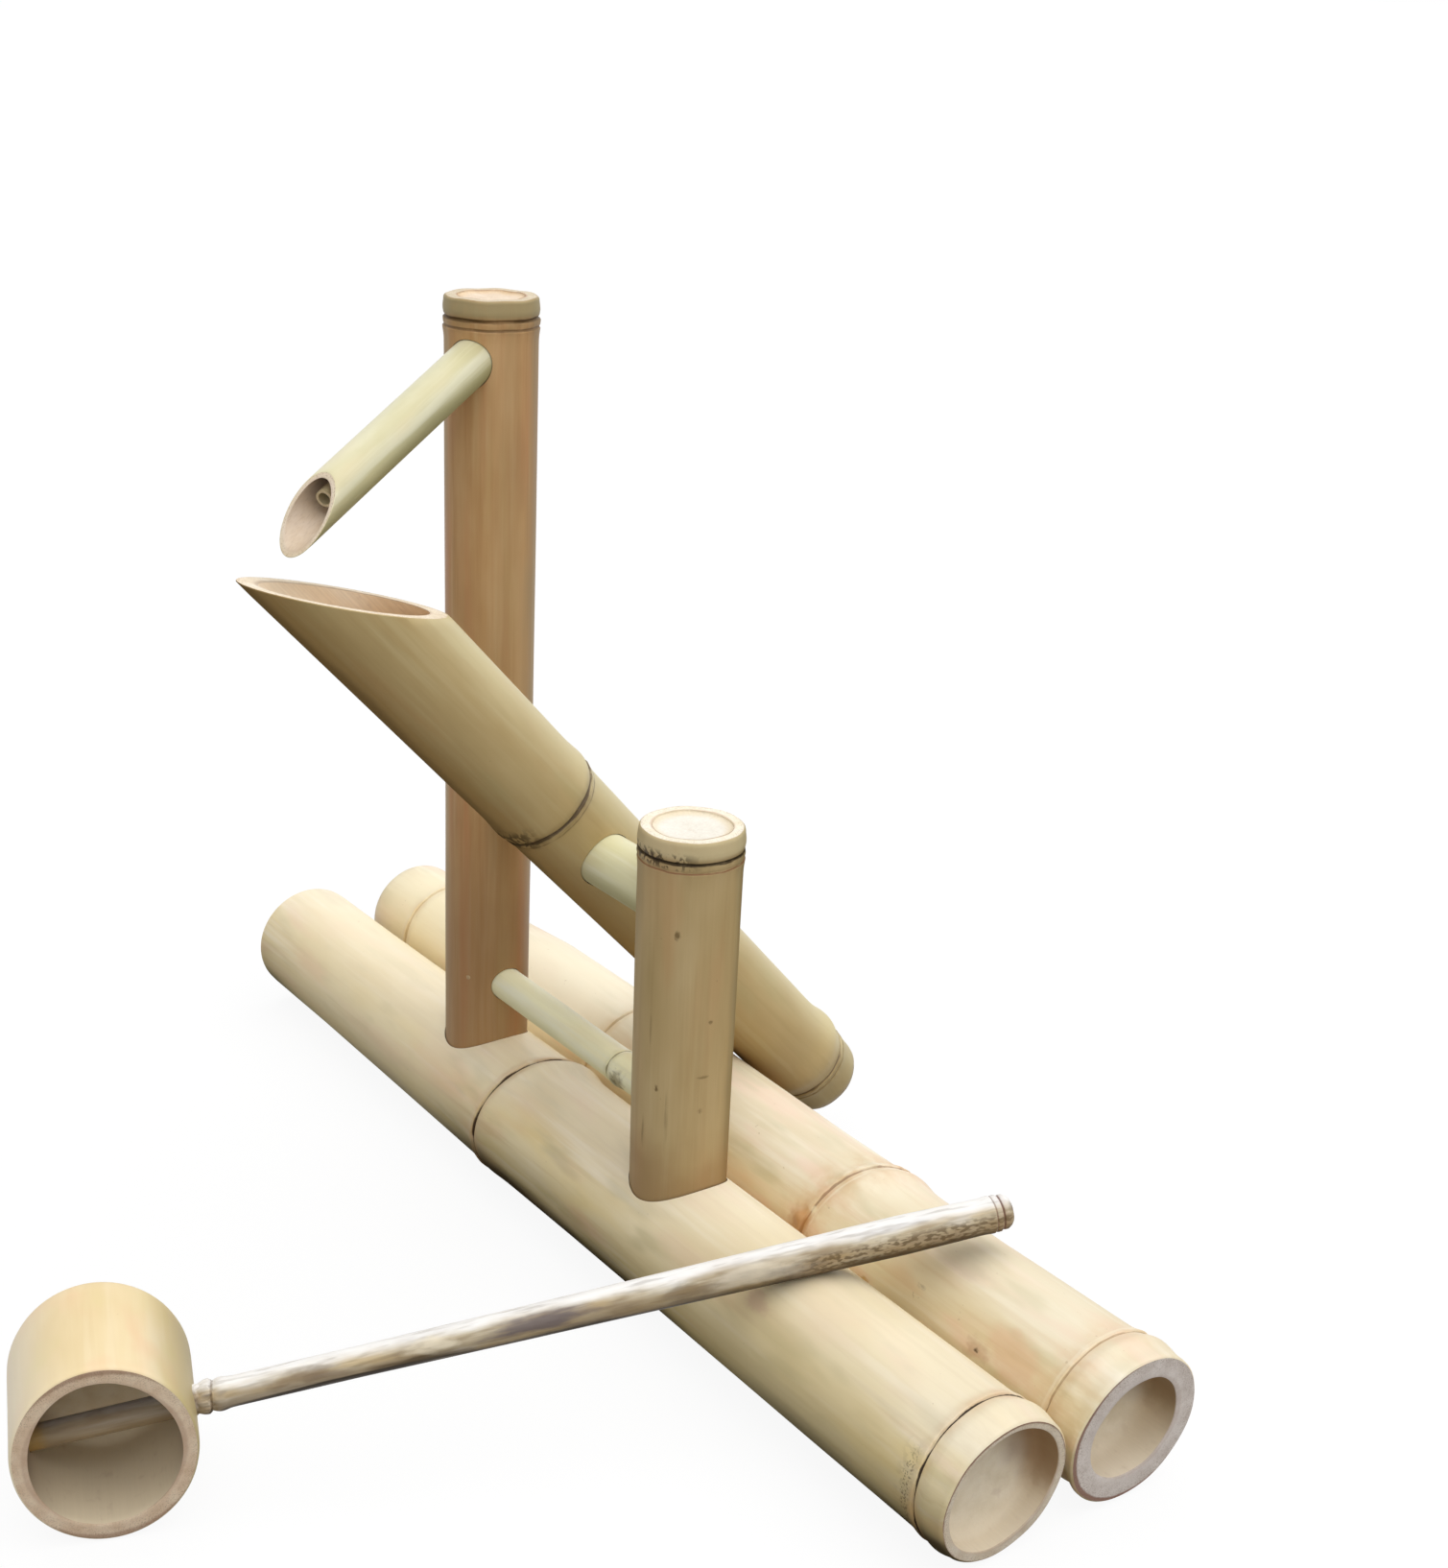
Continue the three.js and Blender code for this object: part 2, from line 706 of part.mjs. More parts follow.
const cupOval = new THREE.Matrix4().makeScale(1, cupHalfHeight / cupHalfWidth, 1);
const cupCulm = {
  length: cupLength,
  footRadius: cupHalfWidth,
  headRadius: cupHalfWidth,
  wall: cupWall,
  facets: baseFacets,
};
const cupRecess = recess(cupCulm, cupLength, cupFloor);
const cupOutside = revolve([
  [0, 0],
  [cupHalfWidth - cupBaseInset, 0],
  [cupHalfWidth - cupEdgeRound, cupBaseRise - cupBaseInset],
  [cupHalfWidth, cupBaseRise],
  [cupHalfWidth, cupLength - cupEdgeRound],
  [cupHalfWidth - cupEdgeRound, cupLength],
  [0, cupLength],
], baseFacets);
const cupBody = shifted(
  moved(moved(cupOutside.subtract(cupRecess), cupOval), alongX),
  cupMouthToHandle - cupLength, 0, 0,
);
const handleHole = coneAlong(
  {
    length: handleCulm.length,
    footRadius: handleTipRadius + seatGap,
    headRadius: handleButtRadius + seatGap,
  },
  -seatGap, cupHalfWidth * 2 + overrun, rodFacets,
);
ladleFrame.add(meshFrom(
  'ladle_cup', cupBody.subtract(shifted(handleHole, 0, 0, handleStart)), creamCup,
));
const handleSpec = {
  ...handleCulm,
  wall: handleTipRadius,
  nodes: [handleNode - handleStart, handleButtNode - handleStart],
  ridgeRise: handleRidgeRise,
  facets: rodFacets,
};
ladleFrame.add(meshFrom(
  'ladle_handle', shifted(culmOutside(handleSpec), 0, 0, handleStart), greyHandle,
));
fountain.add(ladleFrame);

export default fountain;
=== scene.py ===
import math

import bpy
import numpy as np
from mathutils import Matrix, Vector


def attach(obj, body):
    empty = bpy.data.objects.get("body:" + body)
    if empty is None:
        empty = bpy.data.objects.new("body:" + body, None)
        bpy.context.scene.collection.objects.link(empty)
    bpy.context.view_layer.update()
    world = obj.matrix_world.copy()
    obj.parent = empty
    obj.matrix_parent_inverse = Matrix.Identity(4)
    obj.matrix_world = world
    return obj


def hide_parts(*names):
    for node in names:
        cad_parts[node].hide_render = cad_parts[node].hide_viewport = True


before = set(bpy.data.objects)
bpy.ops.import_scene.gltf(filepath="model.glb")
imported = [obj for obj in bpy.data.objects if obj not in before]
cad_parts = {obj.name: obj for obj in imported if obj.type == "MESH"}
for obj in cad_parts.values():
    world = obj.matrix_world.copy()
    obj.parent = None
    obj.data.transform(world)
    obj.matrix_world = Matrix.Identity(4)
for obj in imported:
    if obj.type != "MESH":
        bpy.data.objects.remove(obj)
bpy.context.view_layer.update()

# A bamboo deer scarer, in metres: X runs along the base culms, -Y is the side
# that pours, and the ground is at zero.
mm = 0.001

# The frame that every piece shares, from the CAD source, in millimetres
farEnd = -238.76
baseLength = 550
frontHeight = 31.05
rearHeight = 32.84
rearY = 65
tallPostX = -50.76
shortPostX = 107.24
tallFoot = 14.45
tallTop = 396.09
shortFoot = 15.36
shortTop = 213.3
axleStart = -39.39
braceStart = -49.15
braceHeight = 88
tubePivot = (28.24, 0, 177)
tubeHeelToPivot = 201.5
tubeBoreDrop = 2.65
tubeTip = 201.7
tubeLip = 125.5
tubeMouthRadius = 24.4
restElevation = math.radians(47.283)
spoutRoot = (tallPostX, 0, 375.99)
spoutAzimuth = math.radians(31.2)
spoutElevation = math.radians(-17.6)
spoutUpperLength = 131.2
spoutLowerLength = 164.8
spoutMouthRadius = 9.3
cupAxis = (112.196, -250.2, 35.849)
cupMouth = 20
cupHalfWidth = 32.2
cupHalfHeight = 35.9
ladleYaw = math.radians(-19.3)
handleRise = 0.1213
handleButt = 28.2

# The radius of each hole, and where its cutter ends: above the front culm,
# beside the tube and past the cup
holes = {"tallPost": 19.3, "shortPost": 20.5, "axle": 12.2, "brace": 7.8, "spout": 10,
         "tube": 12.25, "handle": 5.0}
aboveCulm = 90
besideTube = 30
throughCup = 60


# Small helpers

# A colour written as on screen, as the shader's linear values
def linear(code):
    parts = [int(code[i:i + 2], 16) / 255 for i in (1, 3, 5)]
    curve = [p / 12.92 if p <= 0.04045 else ((p + 0.055) / 1.055) ** 2.4 for p in parts]
    return (*curve, 1)


# A vector over its own length
def unit(vector):
    vector = np.array(vector, float)
    return vector / np.linalg.norm(vector)


# A piece's own frame: z along the culm, y towards "up", as an origin in
# millimetres and three columns of directions
def placeAt(origin, along, up):
    z = unit(along)
    y = unit(np.array(up, float) - np.dot(up, z) * z)
    return {"origin": np.array(origin, float), "axes": np.column_stack([np.cross(y, z), y, z])}


# A smooth S from 0 at low to 1 at high: three squares of the share less two cubes
def smoothStep(value, low, high):
    share = np.clip((value - low) / (high - low), 0, 1)
    return share * share * (3 - 2 * share)


# Surfaces

# The form of every node in millimetres: the lip's place and its slopes below
# and above, the groove's width, the swelling's lower slope as a share of its
# offset, and how far a lean or a ragged edge reaches
nodeForm = {"lipAt": -0.9, "lipSlopes": (3.2, 0.7), "groove": 0.5, "swellShare": 0.7, "reach": 26}
# How far the rings stand close together round a node, and how close
closeRings = {"below": 8, "above": 12, "step": 1.1, "groove": 2.6, "grooveStep": 0.22,
              "least": 0.12}


# Stations along a culm: one a step, closer round each node and closest in its
# groove, without those that all but touch
def stationsFor(length, nodes, start, step):
    near = closeRings
    found = [np.linspace(start, length, int((length - start) / step) + 2)]
    for node in nodes:
        at = node["at"]
        top = at + node["offset"] + near["above"]
        found.append(np.arange(at - near["below"], top, near["step"]))
        found.append(np.arange(at - near["groove"], at + near["groove"], near["grooveStep"]))
    merged = np.unique(np.round(np.concatenate(found), 3))
    merged = merged[(merged >= start) & (merged <= length)]
    keep = np.concatenate([[True], np.diff(merged) > near["least"]])
    keep[-1] = True
    return merged[keep]


# The outer radius at each station and angle: a taper from girth to girth, and
# at each node the sheath's lip, the groove of its scar and the swelling above
# it, each a bell curve, and so is a bump on one side. A sawn end eases to its
# own girth, and a few cosines round the culm make it slowly wavy.
def outerRadius(spec, station, angle):
    radius = np.interp(station, *zip(*spec["girths"]))
    for node in spec.get("nodes", ()):
        gap = station - node["at"]
        past = gap - nodeForm["lipAt"]
        lip = np.exp(-((past / np.where(past < 0, *nodeForm["lipSlopes"])) ** 2))
        scar = np.exp(-((gap / nodeForm["groove"]) ** 2))
        high = gap - node["offset"]
        rise = node["offset"] * nodeForm["swellShare"]
        swell = np.exp(-((high / np.where(high < 0, rise, node["run"])) ** 2))
        ragged = 1 + node.get("ragged", 0.25) * (
            np.sin(angle * 5 + node["at"]) * 0.5 + np.sin(angle * 13 + 1.7) * 0.3
            + np.sin(angle * 29 + node["at"] * 2) * 0.25)
        swell = swell * node["crest"] * (1 + node.get("lift", 0) * np.sin(angle))
        radius = radius + lip * node["lip"] * ragged - scar * node["scar"] + swell
    for bump in spec.get("bumps", ()):
        turn = np.angle(np.exp(1j * (angle - bump["angle"]))) * radius
        radius = radius + bump["rise"] * np.exp(
            -((station - bump["at"]) / bump["long"]) ** 2 - (turn / bump["wide"]) ** 2)
    if "cut" in spec:
        across, up = spec["cutShift"]
        cut = spec["cut"] + across * np.cos(angle) + up * np.sin(angle)
        radius = radius + (cut - spec["girths"][-1][1]) * sawnShare(spec, station)
    seed = spec["seed"]
    wave = 0
    for k in (2, 3, 5):
        drift = station * 0.011 * (k - 1) + 2 * np.sin(station * 0.02 + k)
        wave = wave + np.cos(angle * k + seed * k + drift) / k
    return radius * (1 + spec["wave"] * wave)


# How near a station lies to the sawn end: a smooth S along the end's run
def sawnShare(spec, station):
    return smoothStep(station, spec["length"] - spec["cutRun"], spec["length"])


# How far a station moves along the culm at each angle, because a node's ring
# and a sawn end are seldom square to the culm
def ringTilt(spec, station, radius, angle):
    move = np.zeros_like(station + angle)
    for node in spec.get("nodes", ()):
        across, up = node.get("tilt", (0, 0))
        near = np.exp(-(((station - node["at"]) / nodeForm["reach"]) ** 2))
        jitter = node.get("jitter", 0.15) * np.sin(angle * 7 + node["at"])
        move = move + near * (
            across * np.cos(angle) * radius + up * np.sin(angle) * radius + jitter)
    if "cutTilt" in spec:
        across, up = spec["cutTilt"]
        lean = across * np.cos(angle) + up * np.sin(angle)
        move = move + sawnShare(spec, station) * lean * radius
    return move


# A mouth cut on a slope: stations past "from" stretch until the sheet ends on
# the plane, which is lower at +y than at -y
def mouthStretch(spec, station, y):
    if "mouth" not in spec:
        return station
    mouth = spec["mouth"]
    end = mouth["middle"] - y * mouth["slope"]
    begin = mouth["from"]
    share = (station - begin) / (spec["length"] - begin)
    return np.where(station > begin, begin + share * (end - begin), station)


# Rings as points: round, or oval, by radius and angle, and up by their
# stations, which a sloping mouth stretches where "stretch" says so
def ringPoints(spec, radius, station, angle, stretch):
    x = radius * np.cos(angle)
    y = radius * np.sin(angle) * spec.get("oval", 1)
    z = np.where(stretch, mouthStretch(spec, station, y), station)
    return np.stack([x, y, z], axis=-1)


# The rings from a culm's outer edge over its cut face and down its bore to the
# middle of the diaphragm, each with its radius, station, stretch and zone: 0
# for skin, 1 for cut wood and 2 for the bore. "way" is 1 at the head and -1 at
# the foot. The bore may lie off the culm's middle.
def endRings(spec, end, outer, station, way, angle):
    edge = end.get("edge", 0.5)
    rings = [(outer - inset * edge, station - way * rise * edge, True, 0)
             for inset, rise in end.get("round", [(0.3, 0.7), (0.7, 0.25), (1, 0)])]
    if end["kind"] == "solid":
        for share in (0.9, 0.8, 0.5, 0.2):
            rings.append(((outer - edge) * share, station - way * end["dish"] * (1 - share),
                          True, end.get("zone", 1)))
        return rings, station - way * end["dish"]
    across, up = end.get("shift", (0, 0))
    inner = end["inner"] + across * np.cos(angle) + up * np.sin(angle)
    inner = inner * (1 + end.get("uneven", 0.0) * np.sin(angle * 3 + spec["seed"]))
    for share in (0.25, 0.5, 0.75):
        rings.append((outer - (outer - inner) * share, station, True, 1))
    for inset, rise in ((0.35, 0), (0.1, 0.12), (0, 0.5)):
        rings.append((inner + inset, station - way * rise, True, 1))
    if end["kind"] == "through":
        return rings, None
    depth, dish = end["depth"], end["dish"]
    for share in np.linspace(0.08, 1, end.get("steps", 12)):
        rings.append((inner, station - way * share * (depth - dish), share < 1, 2))
    # The diaphragm: a bowl with round corners, a quarter of a squared ellipse
    for turn in np.linspace(0.12, 0.94, 9) * np.pi / 2:
        across, down = np.cos(turn) ** 0.7, np.sin(turn) ** 0.7
        rings.append((inner * across, station - way * (depth - dish + dish * down), False, 2))
    return rings, station - way * depth


# A slight bow of the whole culm: half a sine wave from end to end
def bowed(spec, points):
    across, up = spec.get("bow", (0, 0))
    swing = np.sin(np.clip(points[:, 2:] / spec["length"], 0, 1) * np.pi)
    return points + swing * (across, up, 0)


# Quads between rings of points that follow one another, and from the last ring
# to the first where the sheet is closed
def ringQuads(count, around, closed):
    point = np.arange(around)
    nextPoint = (point + 1) % around
    ring = np.arange(count if closed else count - 1)[:, None] * around
    nextRing = (ring + around) % (count * around)
    return np.stack([ring + point, ring + nextPoint, nextRing + nextPoint, nextRing + point],
                    axis=-1).reshape(-1, 4)


# Fans of triangles that close the first and the last ring, to two middle points
# that come after the rings
def endFans(count, around):
    point = np.arange(around)
    nextPoint = (point + 1) % around
    top, middle = (count - 1) * around, np.full(around, count * around)
    return [np.stack([nextPoint, point, middle], axis=-1),
            np.stack([top + point, top + nextPoint, middle + 1], axis=-1)]


# A culm as one closed sheet: from the middle of the foot's end over the
# outside to the middle of the head's end, or round through an open bore
def culmSheet(name, spec, place, looks):
    around, length, start = spec["around"], spec["length"], spec.get("start", 0)
    foot, head = spec["footEnd"], spec["headEnd"]
    angle = np.linspace(0, 2 * np.pi, around, endpoint=False)
    body = stationsFor(length, spec.get("nodes", ()), start, spec.get("step", 4.5))
    body = body[(body > start + foot.get("edge", 0.5)) & (body < length - head.get("edge", 0.5))]
    outer = outerRadius(spec, np.array([start, *body, length])[:, None], angle)
    footRings, footMiddle = endRings(spec, foot, outer[0], start, -1, angle)
    headRings, headMiddle = endRings(spec, head, outer[-1], length, 1, angle)
    bodyRings = [(radius, station, True, 0) for radius, station in zip(outer[1:-1], body)]
    radius, station, stretch, zones = map(
        np.array, zip(*footRings[::-1], *bodyRings, *headRings))
    station = station[:, None] + ringTilt(spec, station[:, None], radius, angle)
    points = ringPoints(spec, radius, station, angle, stretch[:, None]).reshape(-1, 3)
    faceZones = np.repeat(np.maximum(zones, np.roll(zones, -1)), around)
    closed, fans = footMiddle is None, []
    if not closed:
        points = np.concatenate([points, [[0, 0, footMiddle], [0, 0, headMiddle]]])
        fans = endFans(len(zones), around)
        faceZones = np.concatenate([faceZones[:-around], np.repeat(zones[[0, -1]], around)])
    quads = ringQuads(len(zones), around, closed)
    return buildMesh(name, inFrame(place, bowed(spec, points)), quads, fans, faceZones, looks)


# Points of a piece's own frame in the shared frame, in metres
def inFrame(place, points):
    return (points @ place["axes"].T + place["origin"]) * mm


# A mesh of quads and then of triangles, whose zones choose the materials
def buildMesh(name, world, quads, fans, faceZones, looks):
    mesh = bpy.data.meshes.new(name)
    mesh.vertices.add(len(world))
    mesh.vertices.foreach_set("co", world.astype(np.float32).ravel())
    loops = np.concatenate([quads.ravel(), *[fan.ravel() for fan in fans]]).astype(np.int32)
    totals = np.repeat([4, 3], [len(quads), sum(map(len, fans))]).astype(np.int32)
    starts = np.concatenate([[0], np.cumsum(totals)[:-1]]).astype(np.int32)
    mesh.loops.add(len(loops))
    mesh.loops.foreach_set("vertex_index", loops)
    mesh.polygons.add(len(totals))
    mesh.polygons.foreach_set("loop_start", starts)
    mesh.polygons.foreach_set("material_index", faceZones.astype(np.int32))
    mesh.update(calc_edges=True)
    for look in looks:
        mesh.materials.append(look)
    piece = bpy.data.objects.new(name, mesh)
    bpy.context.scene.collection.objects.link(piece)
    return piece


# A round cutter from one point to another: two rings and their fans. Its own
# "up" is any direction well off its line.
def roundCutter(start, end, radius, sides=96):
    along = np.subtract(end, start)
    steep = abs(unit(along)[2]) > 0.9
    place = placeAt(start, along, (1, 0, 0) if steep else (0.1, 0.2, 1))
    angle = np.linspace(0, 2 * np.pi, sides, endpoint=False)
    ring = np.stack([np.cos(angle) * radius, np.sin(angle) * radius, 0 * angle], axis=-1)
    top = np.array([0, 0, np.linalg.norm(along)])
    points = np.concatenate([ring, ring + top, [0 * top, top]])
    return buildMesh("cutter", inFrame(place, points), ringQuads(2, sides, False),
                     endFans(2, sides), np.ones(sides * 3), [])


# Holes cut for the pieces that pass through. The walls of a hole take the
# piece's second material, the cut wood.
def drill(piece, cutters):
    for cutter in cutters:
        change = piece.modifiers.new("hole", "BOOLEAN")
        change.operation = "DIFFERENCE"
        change.solver = "MANIFOLD"
        change.object = cutter
    settled = bpy.data.meshes.new_from_object(
        piece.evaluated_get(bpy.context.evaluated_depsgraph_get()))
    settled.name = piece.name
    piece.modifiers.clear()
    piece.data = settled
    for cutter in cutters:
        bpy.data.objects.remove(cutter)


# The piece stands for its CAD node, on that node's body
def settle(piece, node, body, sharp=38):
    piece.data.shade_smooth()
    piece.data.set_sharp_from_angle(angle=math.radians(sharp))
    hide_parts(node)
    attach(piece, body)


# Materials

# The real sizes of what shows on bamboo and on the hose, wide and long in
# millimetres. The fibres and their cut ends are drawn about twice as coarse as
# they are, so that they show in the picture.
grainSizes = {
    "streaks": (3.6, 90), "pales": (5.5, 120), "fibres": (0.55, 26), "lumps": (3.2, 8),
    "ringWander": (7, 7), "ringPatches": (9, 9), "cutClouds": (6, 12), "cutFibres": (0.42, 3),
    "cutWander": (4, 4), "boreClouds": (12, 40), "boreFloor": (9, 9), "boreFibres": (0.8, 30),
    "boreDamp": (5, 7), "hoseClouds": (9, 9),
}
# How far these wander, in millimetres
ringWander = 0.8
cutWander = 0.9
boreWander = 12


# Adds a node and gives one of its outputs. A number or an input's name sets
# that input, or links it where the value is an output. "stops" are the colours
# of a ramp, and any other name is a setting.
def addNode(tree, kind, values, output=0):
    made = tree.nodes.new("ShaderNode" + kind)
    for key, value in values.items():
        if key == "stops":
            while len(made.color_ramp.elements) < len(value):
                made.color_ramp.elements.new(0.5)
            for element, (position, code) in zip(made.color_ramp.elements, value):
                element.position = position
                element.color = linear(code)
        elif not isinstance(key, int) and key not in made.inputs:
            setattr(made, key, value)
        elif isinstance(value, bpy.types.NodeSocket):
            tree.links.new(value, made.inputs[key])
        else:
            made.inputs[key].default_value = linear(value) if isinstance(value, str) else value
    return made.outputs[output] if len(made.outputs) else None


# The piece's own frame, read from Object coordinates: metres across in x and
# y, and along the culm in z
def ownFrame(tree, place):
    return addNode(tree, "Mapping", {
        "vector_type": "TEXTURE", "Vector": addNode(tree, "TexCoord", {}, "Object"),
        "Location": tuple(place["origin"] * mm),
        "Rotation": tuple(Matrix(place["axes"].tolist()).to_euler())})


# Noise with its grains this many millimetres wide and long
def grains(tree, local, wide, long, seed, detail=3.0, rough=0.55):
    scaled = addNode(tree, "VectorMath", {
        "operation": "DIVIDE", 0: local, 1: (wide * mm, wide * mm, long * mm)})
    return addNode(tree, "TexNoise", {
        "noise_dimensions": "4D", "Vector": scaled, "W": seed, "Scale": 1.0,
        "Detail": detail, "Roughness": rough})


# How far a point lies towards a side, or along the culm, in millimetres: the
# dot product with that direction
def towards(tree, local, direction):
    return addNode(tree, "VectorMath", {
        "operation": "DOT_PRODUCT", 0: local, 1: tuple(v / mm for v in direction)}, "Value")


# How far a point lies off the culm's middle line, in millimetres
def offMiddle(tree, local):
    across = addNode(tree, "VectorMath", {
        "operation": "MULTIPLY", 0: local, 1: (1 / mm, 1 / mm, 0)})
    return addNode(tree, "VectorMath", {"operation": "LENGTH", 0: across}, "Value")


# A value that wanders: the noise less a half, times the amount, plus the value
def wandering(tree, value, noise, amount):
    swing = addNode(tree, "Math", {"operation": "SUBTRACT", 0: noise, 1: 0.5})
    return addNode(tree, "Math", {"operation": "MULTIPLY_ADD", 0: swing, 1: amount, 2: value})


# A share: the product of its fades, each of which runs from start to end along
# a smooth S while its pattern goes from low to high
def shareOf(tree, *fades):
    share = None
    for pattern, low, high, start, end in fades:
        fade = addNode(tree, "MapRange", {
            "interpolation_type": "SMOOTHSTEP", 0: pattern, 1: low, 2: high, 3: start, 4: end})
        share = fade if share is None else addNode(tree, "Math", {
            "operation": "MULTIPLY", 0: share, 1: fade})
    return share


# One colour laid over another by the share of its fades
def cover(tree, under, over, *fades):
    return addNode(tree, "Mix", {
        "data_type": "RGBA", 0: shareOf(tree, *fades), 6: under, 7: over}, 2)


# A ragged stain round a place: full inside its core and gone at its edge, where
# the distance counts in the stain's own widths and lengths and wanders
def stain(tree, local, under, seed, place, wide, long, amount, code, ragged=1.4, core=0.3):
    shape = addNode(tree, "VectorMath", {
        "operation": "SUBTRACT", 0: local, 1: tuple(v * mm for v in place)})
    shape = addNode(tree, "VectorMath", {
        "operation": "DIVIDE", 0: shape, 1: (wide * mm, wide * mm, long * mm)})
    off = addNode(tree, "VectorMath", {"operation": "LENGTH", 0: shape}, "Value")
    off = wandering(tree, off, grains(tree, local, wide * 0.6, long * 0.6, seed), ragged)
    return cover(tree, under, code, (off, core, 1, amount, 0))


# An empty material and its tree
def newMaterial(name):
    made = bpy.data.materials.new(name)
    made.use_nodes = True
    made.node_tree.nodes.clear()
    return made, made.node_tree


# The surface from a colour, a roughness and bumps, each laid on the one before
# with its height in millimetres and its strength
def finishMaterial(tree, colour, rough, bumps, settings):
    surface = {"Base Color": colour, "Roughness": rough, **settings}
    for pattern, height, strength in bumps:
        under = {"Normal": surface["Normal"]} if "Normal" in surface else {}
        surface["Normal"] = addNode(tree, "Bump", {
            "Height": pattern, "Distance": height * mm, "Strength": strength, **under})
    addNode(tree, "OutputMaterial", {"Surface": addNode(tree, "BsdfPrincipled", surface)})


# A culm's waxy outer skin: mottled shades, long soft streaks and fine fibres,
# blushes in patches, painted light and shade on its sides, broad tones, a dark
# ring with a halo at each node, specks of mildew and single marks
def culmSkin(name, place, look):
    made, tree = newMaterial(name)
    local, seed = ownFrame(tree, place), look["seed"]
    mottle = grains(tree, local, look["mottle"], look["mottle"] * 3.2, seed)
    streaks = grains(tree, local, *grainSizes["streaks"], seed + 3, 4.0)
    pales = grains(tree, local, *grainSizes["pales"], seed + 7)
    fibres = grains(tree, local, *grainSizes["fibres"], seed + 11, 3.0, 0.6)
    streak, streakAmount = look["streak"]
    pale, paleAmount = look["pale"]
    colour = addNode(tree, "ValToRGB", {0: mottle, "stops": look["shades"]})
    colour = cover(tree, colour, streak, (streaks, 0.48, 0.68, 0, streakAmount))
    colour = cover(tree, colour, pale, (pales, 0.5, 0.68, 0, paleAmount))
    colour = cover(tree, colour, streak, (fibres, 0.3, 0.75, look.get("fibreAmount", 0.08), 0))
    for i, (code, amount, wide, long, low) in enumerate(look["blushes"]):
        patch = grains(tree, local, wide, long, seed + 20 + i * 5, 2.0, 0.45)
        colour = cover(tree, colour, code, (patch, low, low + 0.22, 0, amount))
    # Painted light and shade: colour laid on towards a direction, lighter or darker as each look
    # sets it
    for side, code, amount, low, high in look["sides"]:
        uneven = wandering(tree, towards(tree, local, side), mottle, look.get("uneven", 10))
        colour = cover(tree, colour, code, (uneven, low, high, 0, amount))
    for i, tone in enumerate(look.get("tones", ())):
        colour = stain(tree, local, colour, seed + 130 + i, *tone)

    for i, ring in enumerate(look.get("rings", ())):
        across, up = ring.get("tilt", (0, 0))
        gap = addNode(tree, "Math", {
            "operation": "SUBTRACT", 0: towards(tree, local, (-across, -up, 1)), 1: ring["at"]})
        off = addNode(tree, "Math", {"operation": "ABSOLUTE", 0: wandering(
            tree, gap, grains(tree, local, *grainSizes["ringWander"], seed + 40 + i), ringWander)})
        patchy = grains(tree, local, *grainSizes["ringPatches"], seed + 60 + i)
        if "halo" in ring:
            amount, reach, code = ring["halo"]
            colour = cover(tree, colour, code, (off, 0, reach, amount, 0),
                           (patchy, 0.35, 0.65, 0.25, 1))
        width = ring["width"]
        colour = cover(tree, colour, ring["colour"], (off, width * 0.45, width, ring["dark"], 0),
                       (patchy, 0.25, 0.5, ring.get("least", 0.75), 1))

    # Mildew specks, thick inside a band or on one side and thin elsewhere
    for i, speck in enumerate(look.get("specks", ())):
        size, low = speck["size"], speck["low"]
        dots = grains(tree, local, size, size * speck.get("long", 1.6), seed + 80 + i, 2.0, 0.4)
        fades = [(dots, low, low + speck.get("edge", 0.05), 0, speck["amount"])]
        if "at" in speck:
            gap = addNode(tree, "Math", {
                "operation": "SUBTRACT", 0: towards(tree, local, (0, 0, 1)), 1: speck["at"]})
            off = addNode(tree, "Math", {"operation": "ABSOLUTE", 0: gap})
            fades.append((off, speck["band"] * 0.3, speck["band"], 1, 0))
        if "facing" in speck:
            begin = speck["from"]
            fades.append((towards(tree, local, speck["facing"]),
                          begin, begin + speck.get("reach", 10), 0, 1))
        colour = cover(tree, colour, speck["colour"], *fades)
    for i, mark in enumerate(look.get("marks", ())):
        colour = stain(tree, local, colour, seed + 100 + i, *mark)

    gloss = look.get("gloss", 0.26)
    if "dusty" in look:
        side, low, high = look["dusty"]
        gloss = shareOf(tree, (towards(tree, local, side), low, high, gloss, 0))
    bumps = [(fibres, 0.03, 0.5), (streaks, look.get("grooves", 0.12), 0.35)]
    if "lumps" in look:
        bumps.append((grains(tree, local, *grainSizes["lumps"], seed + 17), look["lumps"], 0.6))
    rough = shareOf(tree, (mottle, 0.3, 0.7, look["rough"] - 0.06, look["rough"] + 0.06))
    finishMaterial(tree, colour, rough, bumps, {
        "Specular IOR Level": gloss, "Coat Weight": look.get("coat", 0.0),
        "Coat Roughness": 0.35})
    return made


